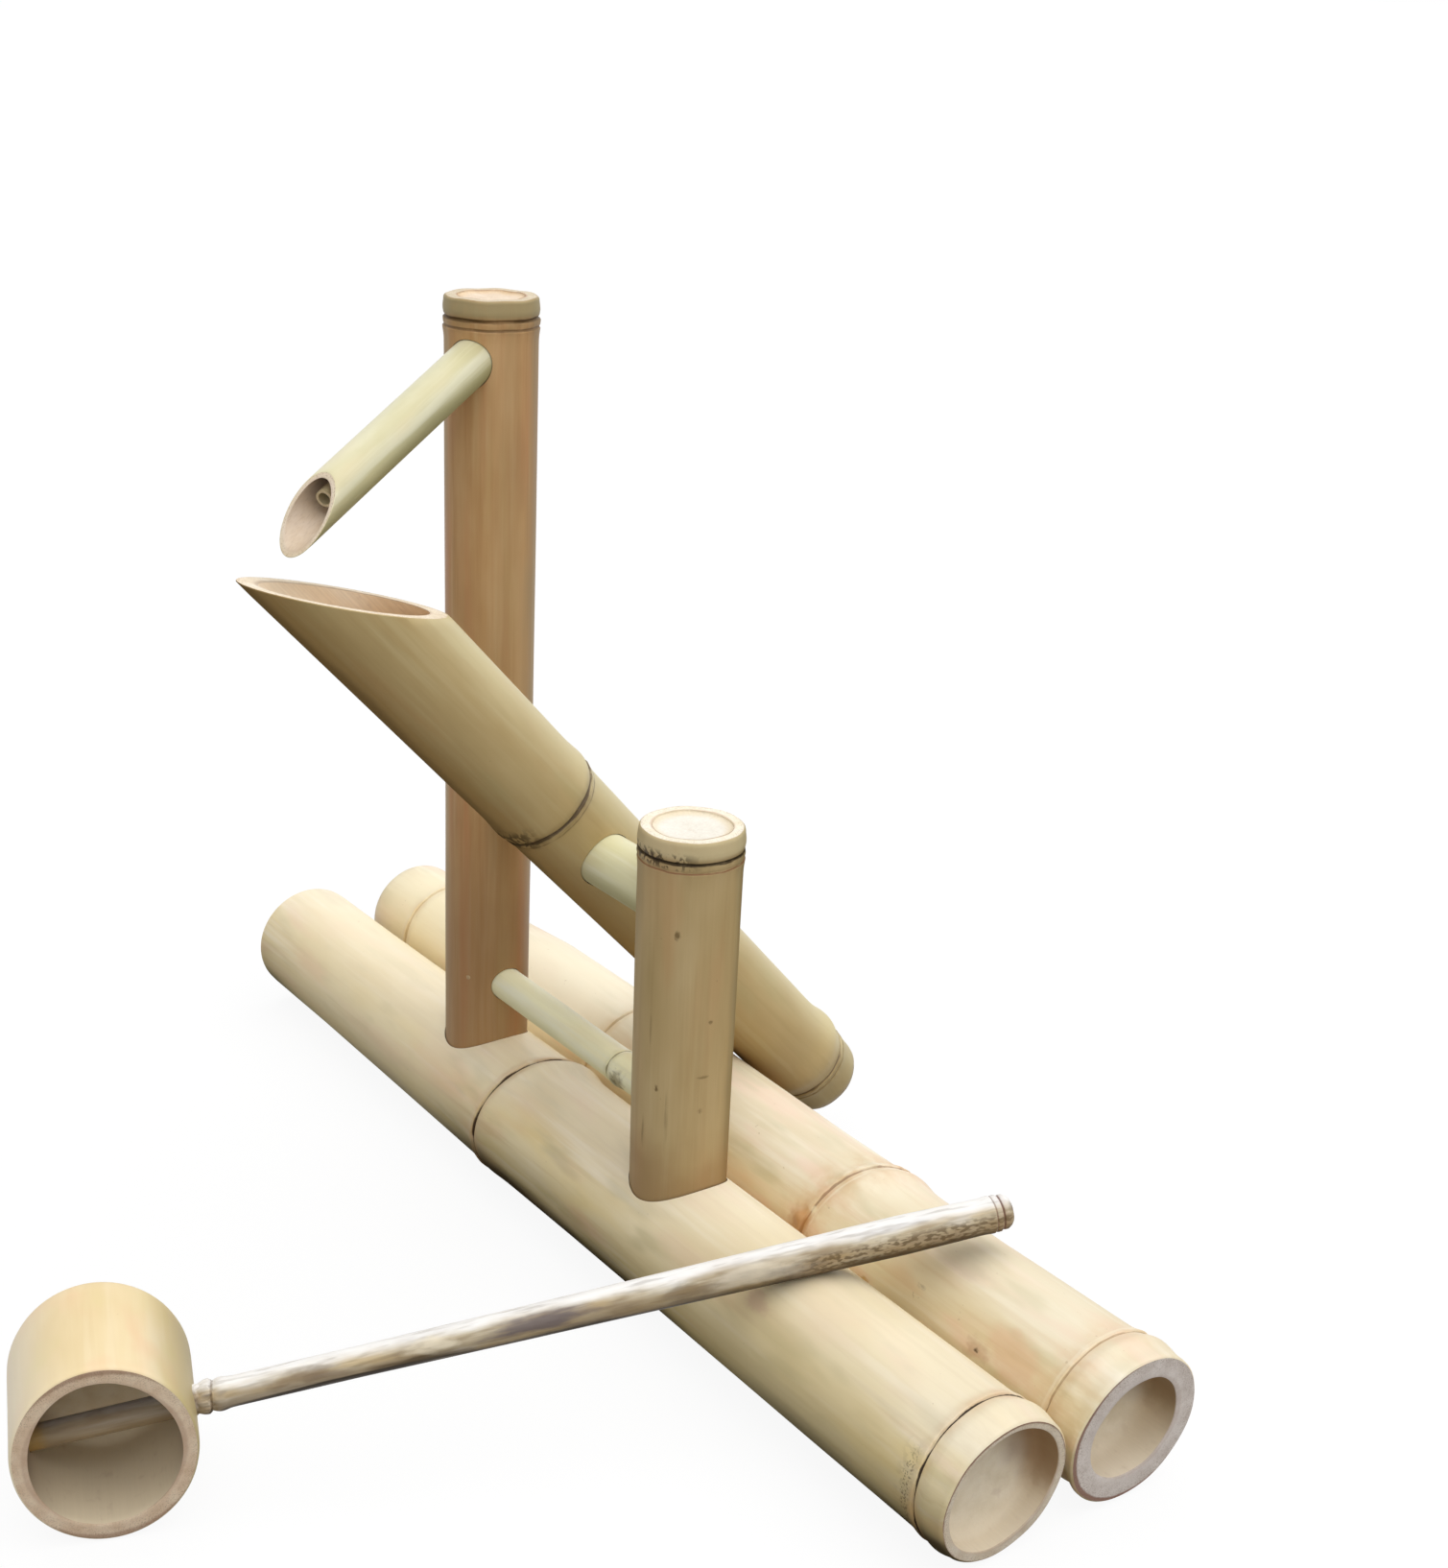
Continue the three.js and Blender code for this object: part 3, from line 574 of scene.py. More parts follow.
# Sawn bamboo wall: a pale ground with fibre dots, crowded and browner towards
# the skin, a thin brown line at the skin and a softer one at the bore
def cutWood(name, place, look):
    made, tree = newMaterial(name)
    local, seed = ownFrame(tree, place), look["seed"]
    outer, inner = look["outer"], look["inner"]
    broad = grains(tree, local, *grainSizes["cutClouds"], seed + 1)
    dots = grains(tree, local, *grainSizes["cutFibres"], seed + 4, 1.0)
    off = wandering(tree, offMiddle(tree, local),
                    grains(tree, local, *grainSizes["cutWander"], seed + 2), cutWander)
    positions = look.get("cutPositions", (0.25, 0.5, 0.75))
    colour = addNode(tree, "ValToRGB", {
        0: broad, "stops": [*zip(positions, look["cutShades"])]})
    colour = cover(tree, colour, look["cutDots"], (dots, 0.5, 0.66, 0, 1),
                   (off, inner, outer, 0.16, 0.56))
    colour = cover(tree, colour, look["cutLine"], (
        off, outer - look.get("lineWidth", 1.6), outer - 0.2, 0, look["skinLine"]))
    colour = cover(tree, colour, look["cutInner"], (
        off, inner, inner + 1.2, look.get("boreLine", 0.4), 0))
    rough = shareOf(tree, (broad, 0.2, 0.8, 0.55, 0.68))
    finishMaterial(tree, colour, rough, [(dots, 0.06, 0.5), (broad, 0.25, 0.4)], {
        "Specular IOR Level": 0.3})
    return made


# The inside of an internode: a dull papery skin with lengthwise fibres, with
# painted light on the lower side of its wall, and a pale diaphragm across it
def boreSkin(name, place, look):
    made, tree = newMaterial(name)
    local, seed, inner = ownFrame(tree, place), look["seed"], look["inner"]
    broad = grains(tree, local, *grainSizes["boreClouds"], seed + 5, 4.0)
    soft = grains(tree, local, *grainSizes["boreFloor"], seed + 9)
    fine = grains(tree, local, *grainSizes["boreFibres"], seed + 6)
    damp = grains(tree, local, *grainSizes["boreDamp"], seed + 8)
    wall, floor = (
        addNode(tree, "ValToRGB", {0: noise, "stops": [*zip((0.2, 0.5, 0.8), look[shades])]})
        for noise, shades in ((broad, "boreShades"), (soft, "floorShades")))
    # Painted light: the lower side of the wall paler, by lowPale
    wall = cover(tree, wall, look["floorShades"][1], (
        towards(tree, local, (0, 1, 0)), -inner, inner * 0.4, look.get("lowPale", 0.0), 0))
    colour = cover(tree, floor, wall, (offMiddle(tree, local), inner * 0.72, inner * 0.97, 0, 1))
    # Painted light and shade towards given sides of the bore
    for side, code, amount, low, high in look.get("boreSides", ()):
        uneven = wandering(tree, towards(tree, local, side), soft, boreWander)
        colour = cover(tree, colour, code, (uneven, low, high, 0, amount))
    colour = cover(tree, colour, look["cutDots"], (
        fine, 0.35, 0.7, look.get("boreFibre", 0.12), 0))
    colour = cover(tree, colour, look["cutInner"], (damp, 0.56, 0.76, 0, 0.22))
    rough = shareOf(tree, (broad, 0.2, 0.8, 0.6, 0.75))
    finishMaterial(tree, colour, rough, [(fine, 0.04, 0.5), (damp, 0.3, 0.35)], {
        "Specular IOR Level": 0.25})
    return made


# The three materials of a culm, in the order of its zones
def culmLooks(name, place, look):
    return [
        culmSkin(name + "_skin_waxed_bamboo", place, look),
        cutWood(name + "_sawn_bamboo", place, look),
        boreSkin(name + "_bore_papery_bamboo", place, look),
    ]


# The place and the lean of a node's ring, for the look of its culm
def ringOf(spec, index):
    node = spec["nodes"][index]
    return {"at": node["at"], "tilt": node.get("tilt", (0, 0))}


# Base culms

# Lengths are in millimetres, and places in the piece's own frame. The short
# lists in the settings give, in this order:
# girths: station and radius. shades: position in the noise and colour, and the
# other shades are colours alone, from the low to the high part of the noise.
# streak, pale: colour and strength. halo: strength, reach and colour.
# blushes: colour, strength, width, length and where in the noise they begin.
# sides, boreSides: painted light and shade, by direction, colour, strength, and
# how far towards it they begin and are full. dusty: direction, and how far
# towards it the gloss fades.
# tones, marks: place, width, length, strength, colour, and, where they aren't
# the usual, how ragged the edge is and the share of the core.
paleCut = {
    "cutShades": ("#bba48c", "#cbb8a1", "#d9c9b3"),
    "cutDots": "#8a725a", "cutLine": "#7c4f36", "cutInner": "#a3806a", "skinLine": 0.85,
    "boreShades": ("#a58660", "#bba07a", "#ccb48e"),
    "floorShades": ("#ddcfb4", "#ebdfc8", "#f5ebd9"),
}
frontPlace = placeAt((farEnd, 0, frontHeight), (1, 0, 0), (0, 0, 1))
frontSpec = {
    "length": baseLength, "cut": 29.4, "cutRun": 10,
    "cutShift": (-0.2, 0.4), "cutTilt": (0.004, 0.07),
    "girths": [(0, 27.9), (60, 28.1), (160, 29.2), (222, 29.9), (250, 30.3), (300, 29.9),
               (520, 29.7), (550, 29.7)],
    "nodes": [
        {"at": 231.7, "lip": 1.0, "scar": 0.8, "crest": 1.3, "offset": 6, "run": 8, "lift": 0.7,
         "tilt": (0.082, 0.167), "ragged": 0.1},
        {"at": 535, "lip": 0.7, "scar": 0.8, "crest": 1.2, "offset": 6.5, "run": 5, "lift": 0.3,
         "tilt": (-0.01, 0.02), "ragged": 0.1},
    ],
    "wave": 0.0035, "seed": 1.3, "bow": (0, 0.3), "around": 224,
    "footEnd": {"kind": "open", "inner": 24, "depth": 231, "dish": 4, "steps": 30,
                "edge": 0.5, "uneven": 0.012},
    "headEnd": {"kind": "open", "inner": 25.4, "depth": 14, "dish": 6, "edge": 0.9,
                "uneven": 0.008, "shift": (-0.5, 1.1)},
}
frontUnder = (-0.72, -0.69, 0)
frontLook = {
    **paleCut, "seed": 2.1, "rough": 0.42, "outer": 28.9, "inner": 24.9,
    # lowPale: painted light on the lower side of the bore's wall
    "mottle": 30, "lowPale": 0.9,
    "shades": [(0.34, "#e0c88f"), (0.5, "#eedcae"), (0.66, "#f4e6c2")],
    "dusty": (frontUnder, 10, 25),
    "streak": ("#c6aa74", 0.34), "pale": ("#fff4e0", 0.5),
    "blushes": [("#e8b898", 0.55, 16, 60, 0.5), ("#ecd28a", 0.45, 14, 50, 0.5),
                ("#b8aa78", 0.5, 9, 34, 0.52)],
    # Painted light and shade: paler towards the top, darker towards the underside, and a dark line
    # along the lower edge
    "sides": [((0, 1, 0), "#fff8ea", 0.5, 12, 30), (frontUnder, "#94814e", 0.55, 10, 27),
              (frontUnder, "#2c2114", 0.9, 24, 29.6)],
    "cutShades": ("#cfbda4", "#dccdb7", "#e8dccb"),
    "lineWidth": 1.1, "boreLine": 0.3, "boreFibre": 0.05,
    # Painted light and shade in the bore: paler on its lower side, brown in the shade under the
    # upper rim
    "boreSides": [((-0.8, -0.6, 0), "#f3e6cf", 0.5, 12, 24),
                  ((0.8, 0.6, 0), "#8a6743", 0.65, 6, 20)],
    "tones": [
        ((-18, 14, 440), 60, 110, 0.5, "#dccb9f", 0.3),
        ((0, 0, 110), 95, 150, 0.5, "#fcecc6", 0.5),
        ((10, 25, 540), 40, 60, 0.4, "#d3c29c", 0.5),
    ],
    "rings": [
        {**ringOf(frontSpec, 0), "width": 0.6, "dark": 0.95, "colour": "#3a2718",
         "halo": (0.4, 7, "#d2a576"), "least": 0.85},
        {**ringOf(frontSpec, 1), "width": 0.42, "dark": 0.97, "colour": "#2e2018",
         "halo": (0.4, 6, "#c99d6c"), "least": 0.95},
    ],
    "specks": [
        {"size": 0.8, "low": 0.54, "amount": 0.65, "colour": "#5d4b34", "at": 530.5, "band": 3.6,
         "facing": (-0.95, -0.3, 0), "from": 16, "long": 1.3},
        {"size": 3, "low": 0.5, "amount": 0.16, "colour": "#8f7a55", "at": 529, "band": 6,
         "facing": (-0.95, -0.3, 0), "from": 12},
        {"size": 1.6, "low": 0.74, "amount": 0.25, "colour": "#9f8860"},
    ],
    "marks": [
        ((-21.9, 20.2, 431), 6, 9, 0.38, "#c49a88"),
    ],
}
frontLooks = culmLooks("front", frontPlace, frontLook)
frontCulm = culmSheet("front_culm", frontSpec, frontPlace, frontLooks)
drill(frontCulm, [
    roundCutter((tallPostX, 0, frontHeight), (tallPostX, 0, aboveCulm), holes["tallPost"]),
    roundCutter((shortPostX, 0, frontHeight), (shortPostX, 0, aboveCulm), holes["shortPost"]),
])
settle(frontCulm, "front_base_culm", "base")

rearPlace = placeAt((farEnd, rearY, rearHeight), (1, 0, 0), (0, 0, 1))
rearSpec = {
    "length": baseLength, "cut": 31.3, "cutRun": 9,
    "cutShift": (-1.3, -0.6), "cutTilt": (0.008, 0.03),
    "girths": [(0, 26.3), (90, 28.7), (128, 31.2), (250, 31.4), (350, 29.9), (386, 30.0),
               (420, 29.1), (455, 28.6), (520, 29.5), (550, 30.1)],
    "nodes": [
        {"at": 38, "lip": 0.8, "scar": 0.4, "crest": 1.2, "offset": 6, "run": 7},
        {"at": 220, "lip": 0.8, "scar": 0.4, "crest": 1.0, "offset": 6, "run": 7},
        {"at": 388, "lip": 1.0, "scar": 0.35, "crest": 1.3, "offset": 6.5, "run": 8,
         "lift": 0.3, "tilt": (0.126, 0.116), "ragged": 0.5},
        {"at": 530.7, "lip": 0.7, "scar": 0.4, "crest": 1.5, "offset": 6, "run": 6,
         "lift": 0.2, "tilt": (0, 0.096), "ragged": 0.4},
    ],
    "bumps": [{"at": 384, "angle": math.radians(158), "rise": 1.5, "long": 3, "wide": 2.6}],
    "wave": 0.004, "seed": 4.1, "bow": (0, 0.2), "around": 224,
    "footEnd": {"kind": "open", "inner": 23.6, "depth": 36, "dish": 5, "edge": 0.5,
                "uneven": 0.02},
    "headEnd": {"kind": "open", "inner": 21.4, "depth": 19, "dish": 8, "edge": 0.9,
                "uneven": 0.012, "shift": (-1.4, 0.2)},
}
rearUnder = (-0.67, -0.74, 0)
rearLook = {
    **paleCut, "seed": 9.4, "rough": 0.42, "outer": 30.6, "inner": 21.6,
    # lowPale: painted light on the lower side of the bore's wall
    "mottle": 26, "lowPale": 0.9, "lineWidth": 1.2, "boreLine": 0.2, "boreFibre": 0.05,
    "cutShades": ("#cabdb4", "#dacfc7", "#e8dfd8"),
    # Painted light and shade in the bore: paler on its lower side, brown in the shade under the
    # upper rim
    "boreSides": [((-0.6, -0.8, 0), "#f2e6d2", 0.5, 6, 19),
                  ((0.6, 0.8, 0), "#7a5c3a", 0.65, 1, 17)],
    "shades": [(0.34, "#decba2"), (0.5, "#eadcb8"), (0.66, "#f1e6ca")],
    "streak": ("#cdab72", 0.28), "pale": ("#fff7e4", 0.45),
    "blushes": [("#e3b482", 0.42, 15, 48, 0.52), ("#f2cbb2", 0.6, 13, 46, 0.5),
                ("#c2b888", 0.55, 9, 34, 0.52)],
    # Painted light and shade: paler towards the top and darker towards the underside
    "sides": [((0, 1, 0), "#fffaec", 0.35, 14, 32), (rearUnder, "#94804e", 0.45, 12, 30)],
    "dusty": (rearUnder, 16, 28),
    "tones": [
        ((-23.6, 17.8, 40), 56, 70, 0.75, "#fdf0cc", 0.5),
        ((-14, 26, 160), 56, 80, 0.75, "#fff4d8", 0.5),
        ((10, 28, 490), 42, 120, 0.35, "#d8c7a2", 0.5),
    ],
    "rings": [
        *[{**ringOf(rearSpec, i), "width": 0.6, "dark": 0.35, "colour": "#a07c50",
           "halo": (0.4, 9, "#d9b67c")} for i in (0, 1)],
        {**ringOf(rearSpec, 2), "width": 0.6, "dark": 0.65, "colour": "#8a6650",
         "halo": (0.6, 22, "#d8ae7a"), "least": 0.35},
        {"at": 391.2, "tilt": (0.126, 0.116), "width": 0.9, "dark": 0.5, "colour": "#f6ead2",
         "least": 0.2},
        {**ringOf(rearSpec, 3), "width": 0.45, "dark": 0.6, "colour": "#8f6c48",
         "halo": (0.32, 18, "#e0b380"), "least": 0.4},
        {"at": 528.6, "tilt": (0, 0.096), "width": 0.9, "dark": 0.45, "colour": "#f6ead0",
         "least": 0.3},
    ],
    "specks": [{"size": 1.6, "low": 0.72, "amount": 0.3, "colour": "#a88b5e"}],
    "marks": [
        ((-25.3, 15.3, 508), 13, 20, 0.4, "#e0b08e"),
        ((-28.5, 9.6, 491), 6, 9, 0.45, "#b58a62"),
        ((-28.5, 9.6, 491), 1.7, 2.4, 0.9, "#46311f"),
        ((-9.2, 28.1, 460), 10, 24, 0.2, "#a0947a"),
        ((-24.7, 16.3, 454), 1.6, 3.6, 0.5, "#8a7656"),
        ((-28, 10, 383), 10, 11, 0.65, "#b9803f"),
        ((-24.9, 16.1, 388), 3, 2.6, 0.75, "#f3e6c8"),
        ((-29.3, 4.3, 425), 3, 5, 0.7, "#c39a50"),
    ],
}
rearCulm = culmSheet("rear_culm", rearSpec, rearPlace, culmLooks("rear", rearPlace, rearLook))
settle(rearCulm, "rear_base_culm", "base")
print("base culms made")


# Posts

tallPlace = placeAt((tallPostX, 0, tallFoot), (0, 0, 1), (0, 1, 0))
tallLength = tallTop - tallFoot
tallSpec = {
    "length": tallLength, "girths": [(0, 18.8), (tallLength, 19.9)],
    "nodes": [{"at": tallLength - 8.3, "lip": 0.5, "scar": 0.8, "crest": 0.45, "offset": 3.2,
               "run": 3, "ragged": 0.5, "jitter": 0.3},
              {"at": tallLength - 12, "lip": 0.35, "scar": 0.3, "crest": 0, "offset": 3, "run": 3,
               "ragged": 0.5, "jitter": 0.2}],
    "wave": 0.005, "seed": 2.2, "bow": (0.5, 0), "around": 192,
    "footEnd": {"kind": "open", "inner": 14.6, "depth": tallLength - 12, "dish": 3, "steps": 24},
    "headEnd": {"kind": "open", "inner": 14.3, "depth": 1.8, "dish": 1.6, "edge": 0.7,
                "uneven": 0.02, "steps": 3},
}
tallLook = {
    **paleCut, "seed": 14.2, "rough": 0.46, "outer": 19.9, "inner": 14.3,
    "mottle": 22, "cutInner": "#c08c72", "boreLine": 0.6, "skinLine": 0.3,
    "gloss": 0.18, "cutShades": ("#cbbb9c", "#d8c9ae", "#e2d5bd"),
    "floorShades": ("#e6d0b6", "#eedcc6", "#f4e7d6"),
    "boreShades": ("#dcc09a", "#e8cfae", "#f0dcc0"),
    "shades": [(0.34, "#bc9163"), (0.5, "#c8a06f"), (0.66, "#d1ac7d")],
    "streak": ("#b07c4c", 0.35), "pale": ("#d6bf94", 0.4),
    "fibreAmount": 0.12,
    # Painted shade: darker towards two opposite sides of the post
    "sides": [((0.5, 0.86, 0), "#85765a", 0.55, 14, 19.4),
              ((-0.5, -0.86, 0), "#a39577", 0.4, 16, 19.6)],
    "blushes": [("#d08c62", 0.5, 9, 160, 0.5), ("#c9b47c", 0.45, 12, 110, 0.55)],
    "rings": [
        {"at": tallLength - 3.4, "width": 5.2, "dark": 0.85, "colour": "#a89a72"},
        {**ringOf(tallSpec, 0), "width": 1.1, "dark": 0.85, "colour": "#5f4829",
         "halo": (0.6, 3.6, "#86704a"), "least": 0.6},
        {**ringOf(tallSpec, 1), "width": 0.8, "dark": 0.75, "colour": "#6e5433",
         "halo": (0.45, 3, "#96764e"), "least": 0.4},
    ],
    "marks": [
        # Painted shadow: the lower part of the post darker, where the tube shades it
        ((0, 0, 62), 90, 105, 0.5, "#8f6d48", 0.3),
        ((20, 0, 190), 14, 190, 0.3, "#a58a62"),
    ],
}


# Cutters across one side of a post, for the rods that sit in it
def rodHoles(postX, rods):
    return [roundCutter((postX + start, 0, height), (postX + end, 0, height), holes[rod])
            for start, end, height, rod in rods]


tallRods = [(12, 30, tubePivot[2], "axle"), (2, 30, braceHeight, "brace")]
spoutHole = (10, 34)
spoutAlong = np.array([
    math.sin(spoutAzimuth) * math.cos(spoutElevation),
    -math.cos(spoutAzimuth) * math.cos(spoutElevation),
    math.sin(spoutElevation)])
spoutCut = [np.array(spoutRoot) + spoutAlong * reach for reach in spoutHole]
tallPost = culmSheet("tall_post_culm", tallSpec, tallPlace, culmLooks("tall", tallPlace, tallLook))
drill(tallPost, [*rodHoles(tallPostX, tallRods), roundCutter(*spoutCut, holes["spout"])])
settle(tallPost, "tall_post", "base")

shortPlace = placeAt((shortPostX, 0, shortFoot), (0, 0, 1), (0, 1, 0))
shortLength = shortTop - shortFoot
shortSpec = {
    "length": shortLength, "girths": [(0, 19.9), (shortLength, 21.0)],
    "nodes": [{"at": shortLength - 8.8, "lip": 0.5, "scar": 0.7, "crest": 0.5, "offset": 3.2,
               "run": 3, "ragged": 0.5, "jitter": 0.25},
              {"at": shortLength - 12.2, "lip": 0.25, "scar": 0.3, "crest": 0, "offset": 3,
               "run": 3, "ragged": 0.3, "jitter": 0.2}],
    "wave": 0.006, "seed": 5.2, "bow": (-0.4, 0), "around": 192,
    "footEnd": {"kind": "open", "inner": 15.5, "depth": shortLength - 12, "dish": 3, "steps": 18},
    "headEnd": {"kind": "open", "inner": 16, "depth": 1.9, "dish": 1.7, "edge": 0.7,
                "uneven": 0.02, "steps": 3},
}
shortBack = (0.58, 0.81, 0)
shortLook = {
    **tallLook, "seed": 31.7, "outer": 21.1, "inner": 16, "gloss": 0.1,
    "cutInner": "#c9a588", "boreShades": ("#e6d6b8", "#efe2c8", "#f7edd9"),
    "cutShades": ("#efe3c6", "#f8efda", "#fdf8ea"),
    "floorShades": ("#efe9dc", "#f5f1e6", "#f8f5ec"),
    "dusty": (shortBack, 10, 18),
    "shades": [(0.25, "#b39b6c"), (0.5, "#c0a87b"), (0.75, "#c9b388")],
    "streak": ("#a0865a", 0.2), "pale": ("#d2c196", 0.35),
    "fibreAmount": 0.08,
    "blushes": [("#c39a6c", 0.4, 12, 90, 0.52)],
    # Painted shade: darker towards two opposite sides of the post
    "sides": [(shortBack, "#6e6242", 0.5, 15.5, 20.8),
              ((-0.58, -0.81, 0), "#94805a", 0.4, 17, 21)],
    "rings": [
        {**ringOf(shortSpec, 0), "width": 0.9, "dark": 0.92, "colour": "#33281b",
         "halo": (0.55, 3.4, "#7d6a48"), "least": 0.45},
        {"at": shortLength - 12.6, "width": 0.42, "dark": 0.7, "colour": "#7a4a34",
         "halo": (0.15, 2.4, "#a5825a"), "least": 0.3},
        {"at": shortLength - 3.2, "width": 5.0, "dark": 0.6, "colour": "#d6c8a0"},
    ],
    "specks": [
        {"size": 1.5, "low": 0.49, "amount": 0.8, "colour": "#3a2f22", "at": shortLength - 8.2,
         "band": 4.6, "facing": (0.05, -0.98, 0), "from": 8},
        {"size": 1.2, "low": 0.74, "amount": 0.45, "colour": "#7f6b47"},
    ],
    "marks": [
        ((0, 0, 8), 80, 66, 0.6, "#9a7850", 0.9, 0.6),
        ((0, 0, 2), 80, 24, 0.5, "#7f6446", 0.9, 0.3),
        ((13.9, -15, 159), 1.7, 2.4, 0.75, "#65502f"),
        ((20.4, -1.7, 121), 1.4, 1.2, 0.65, "#6f5c3c"),
        ((8.5, -18.7, 91), 1.1, 1.9, 0.75, "#5d4527"),
        ((20.1, -4.1, 97), 3.4, 0.9, 0.6, "#7d6a48"),
        ((20, -4.6, 82), 1.4, 1.6, 0.6, "#7d6a48"),
        ((2, -20.4, 69), 0.9, 9, 0.55, "#7d6644"),
        ((12.3, -16.4, 77), 1.1, 17, 0.4, "#86704c"),
        ((5, -19.9, 116), 0.8, 8, 0.35, "#86704c"),
    ],
}
shortRods = [(-30, -12, tubePivot[2], "axle"), (-30, -12, braceHeight, "brace")]
shortPost = culmSheet(
    "short_post_culm", shortSpec, shortPlace, culmLooks("short", shortPlace, shortLook))
drill(shortPost, rodHoles(shortPostX, shortRods))
settle(shortPost, "short_post", "base")
print("posts made")


# Canes: the axle, the brace and the spout

caneLook = {
    **paleCut, "seed": 41.0, "rough": 0.34, "gloss": 0.32, "coat": 0.1, "outer": 9.3, "inner": 7.6,
    "mottle": 16, "fibreAmount": 0.05,
    "shades": [(0.25, "#dbd6a6"), (0.5, "#e4e0b8"), (0.75, "#ece9cb")],
    "streak": ("#c5be8c", 0.15), "pale": ("#f6f4de", 0.45),
    "blushes": [("#e6d5ac", 0.4, 14, 60, 0.5)],
    # Painted shade: darker towards the underside
    "sides": [((0, -1, 0), "#b5ab78", 0.4, 3, 9)],
    "boreShades": ("#dcc4a0", "#ebd7b8", "#f3e5cd"),
    "floorShades": ("#dcc4a0", "#ebd7b8", "#f3e5cd"),
    "cutShades": ("#e0cdae", "#eee0c8", "#f7ecda"),
    "cutLine": "#a98e64", "skinLine": 0.35,
}
axlePlace = placeAt((axleStart, 0, tubePivot[2]), (1, 0, 0), (0, 0, 1))
axleSpec = {
    "length": 133.65, "girths": [(0, 11.9)], "wave": 0.003, "seed": 7,
    "around": 96, "step": 3,
    "footEnd": {"kind": "through", "inner": 8.8, "edge": 0.3},
    "headEnd": {"kind": "through", "inner": 8.8, "edge": 0.3},
}
axleUnder = (-0.59, -0.8, 0)
# Painted shade on the axle: darker towards the underside
axleLook = {**caneLook, "seed": 43.0, "outer": 11.9, "inner": 8.8, "dusty": (axleUnder, 3, 9),
            "sides": [(axleUnder, "#a39a68", 0.55, 3, 11)]}
axle = culmSheet("axle_cane", axleSpec, axlePlace, culmLooks("axle", axlePlace, axleLook))
settle(axle, "pivot_axle", "base")

bracePlace = placeAt((braceStart, 0, braceHeight), (1, 0, 0), (0, 0, 1))
braceSpec = {
    "length": 143.95, "girths": [(0, 7.5)],
    "nodes": [{"at": 112.5, "lip": 0.3, "scar": 0.35, "crest": 0.75, "offset": 3.4, "run": 4,
               "ragged": 0.4, "tilt": (0.1, 0.1)}],
    "wave": 0.003, "seed": 8, "around": 96, "step": 3,
    "footEnd": {"kind": "open", "inner": 5.3, "depth": 90, "dish": 2, "edge": 0.3},
    "headEnd": {"kind": "open", "inner": 5.3, "depth": 40, "dish": 2, "edge": 0.3},
}
braceUnder = (-0.68, -0.74, 0)
braceLook = {
    **caneLook, "seed": 47.0, "outer": 7.5, "inner": 5.3, "dusty": (braceUnder, 0, 6),
    # Painted shade: a little darker towards the underside
    "sides": [(braceUnder, "#e0d8aa", 0.4, 3, 7)],
    "shades": [(0.25, "#fff6c8"), (0.5, "#fffad2"), (0.75, "#fffde0")],
    "rings": [{**ringOf(braceSpec, 0), "width": 0.5, "dark": 0.75, "colour": "#7a6a44",
               "halo": (0.4, 4, "#b9ad74"), "least": 0.5}],
    "marks": [((-6.5, -3, 120), 8, 7, 0.6, "#7d6b44"),
              ((-7, -2.5, 117), 2.4, 3, 0.5, "#4f432c")],
    "specks": [{"size": 1.6, "low": 0.52, "amount": 0.3, "colour": "#5c5038", "at": 119,
                "band": 6, "facing": braceUnder, "from": 0, "reach": 5}],
}
brace = culmSheet("brace_cane", braceSpec, bracePlace, culmLooks("brace", bracePlace, braceLook))
settle(brace, "brace_rod", "base")

spoutPlace = placeAt(spoutRoot, spoutAlong, (0, 0, 1))
spoutSpec = {
    "length": 131, "start": 15.14, "girths": [(0, 9.7), (131, 9.3)],
    "wave": 0.004, "seed": 3, "around": 128, "step": 2.5,
    "mouth": {"from": 60, "middle": (spoutLowerLength + spoutUpperLength) / 2,
              "slope": (spoutLowerLength - spoutUpperLength) / (2 * spoutMouthRadius)},
    "footEnd": {"kind": "through", "inner": 8, "edge": 0.3},
    "headEnd": {"kind": "through", "inner": 7.6, "edge": 0.25, "uneven": 0.01},
}
spoutUnder = (0.66, -0.75, 0)
spoutLook = {
    **caneLook, "seed": 53.0,
    "shades": [(0.25, "#cac18c"), (0.5, "#d1caa0"), (0.75, "#d9d3b2")],
    "dusty": (spoutUnder, 1, 7),
    # Painted shade towards the underside and a painted highlight towards the top
    "sides": [(spoutUnder, "#9c9460", 0.65, 3, 9), ((-0.66, 0.75, 0), "#eceacc", 0.4, 4, 9)],
    "boreShades": ("#e3c49a", "#f0d9b6", "#fbebd0"),
    # Painted shade: brown inside the bore towards its upper side
    "boreSides": [((0.5, 0.8, 0), "#8a6940", 0.8, 2, 8)],
}
spout = culmSheet("spout_cane", spoutSpec, spoutPlace, culmLooks("spout", spoutPlace, spoutLook))
settle(spout, "spout", "base")
print("canes made")


# Tipping tube

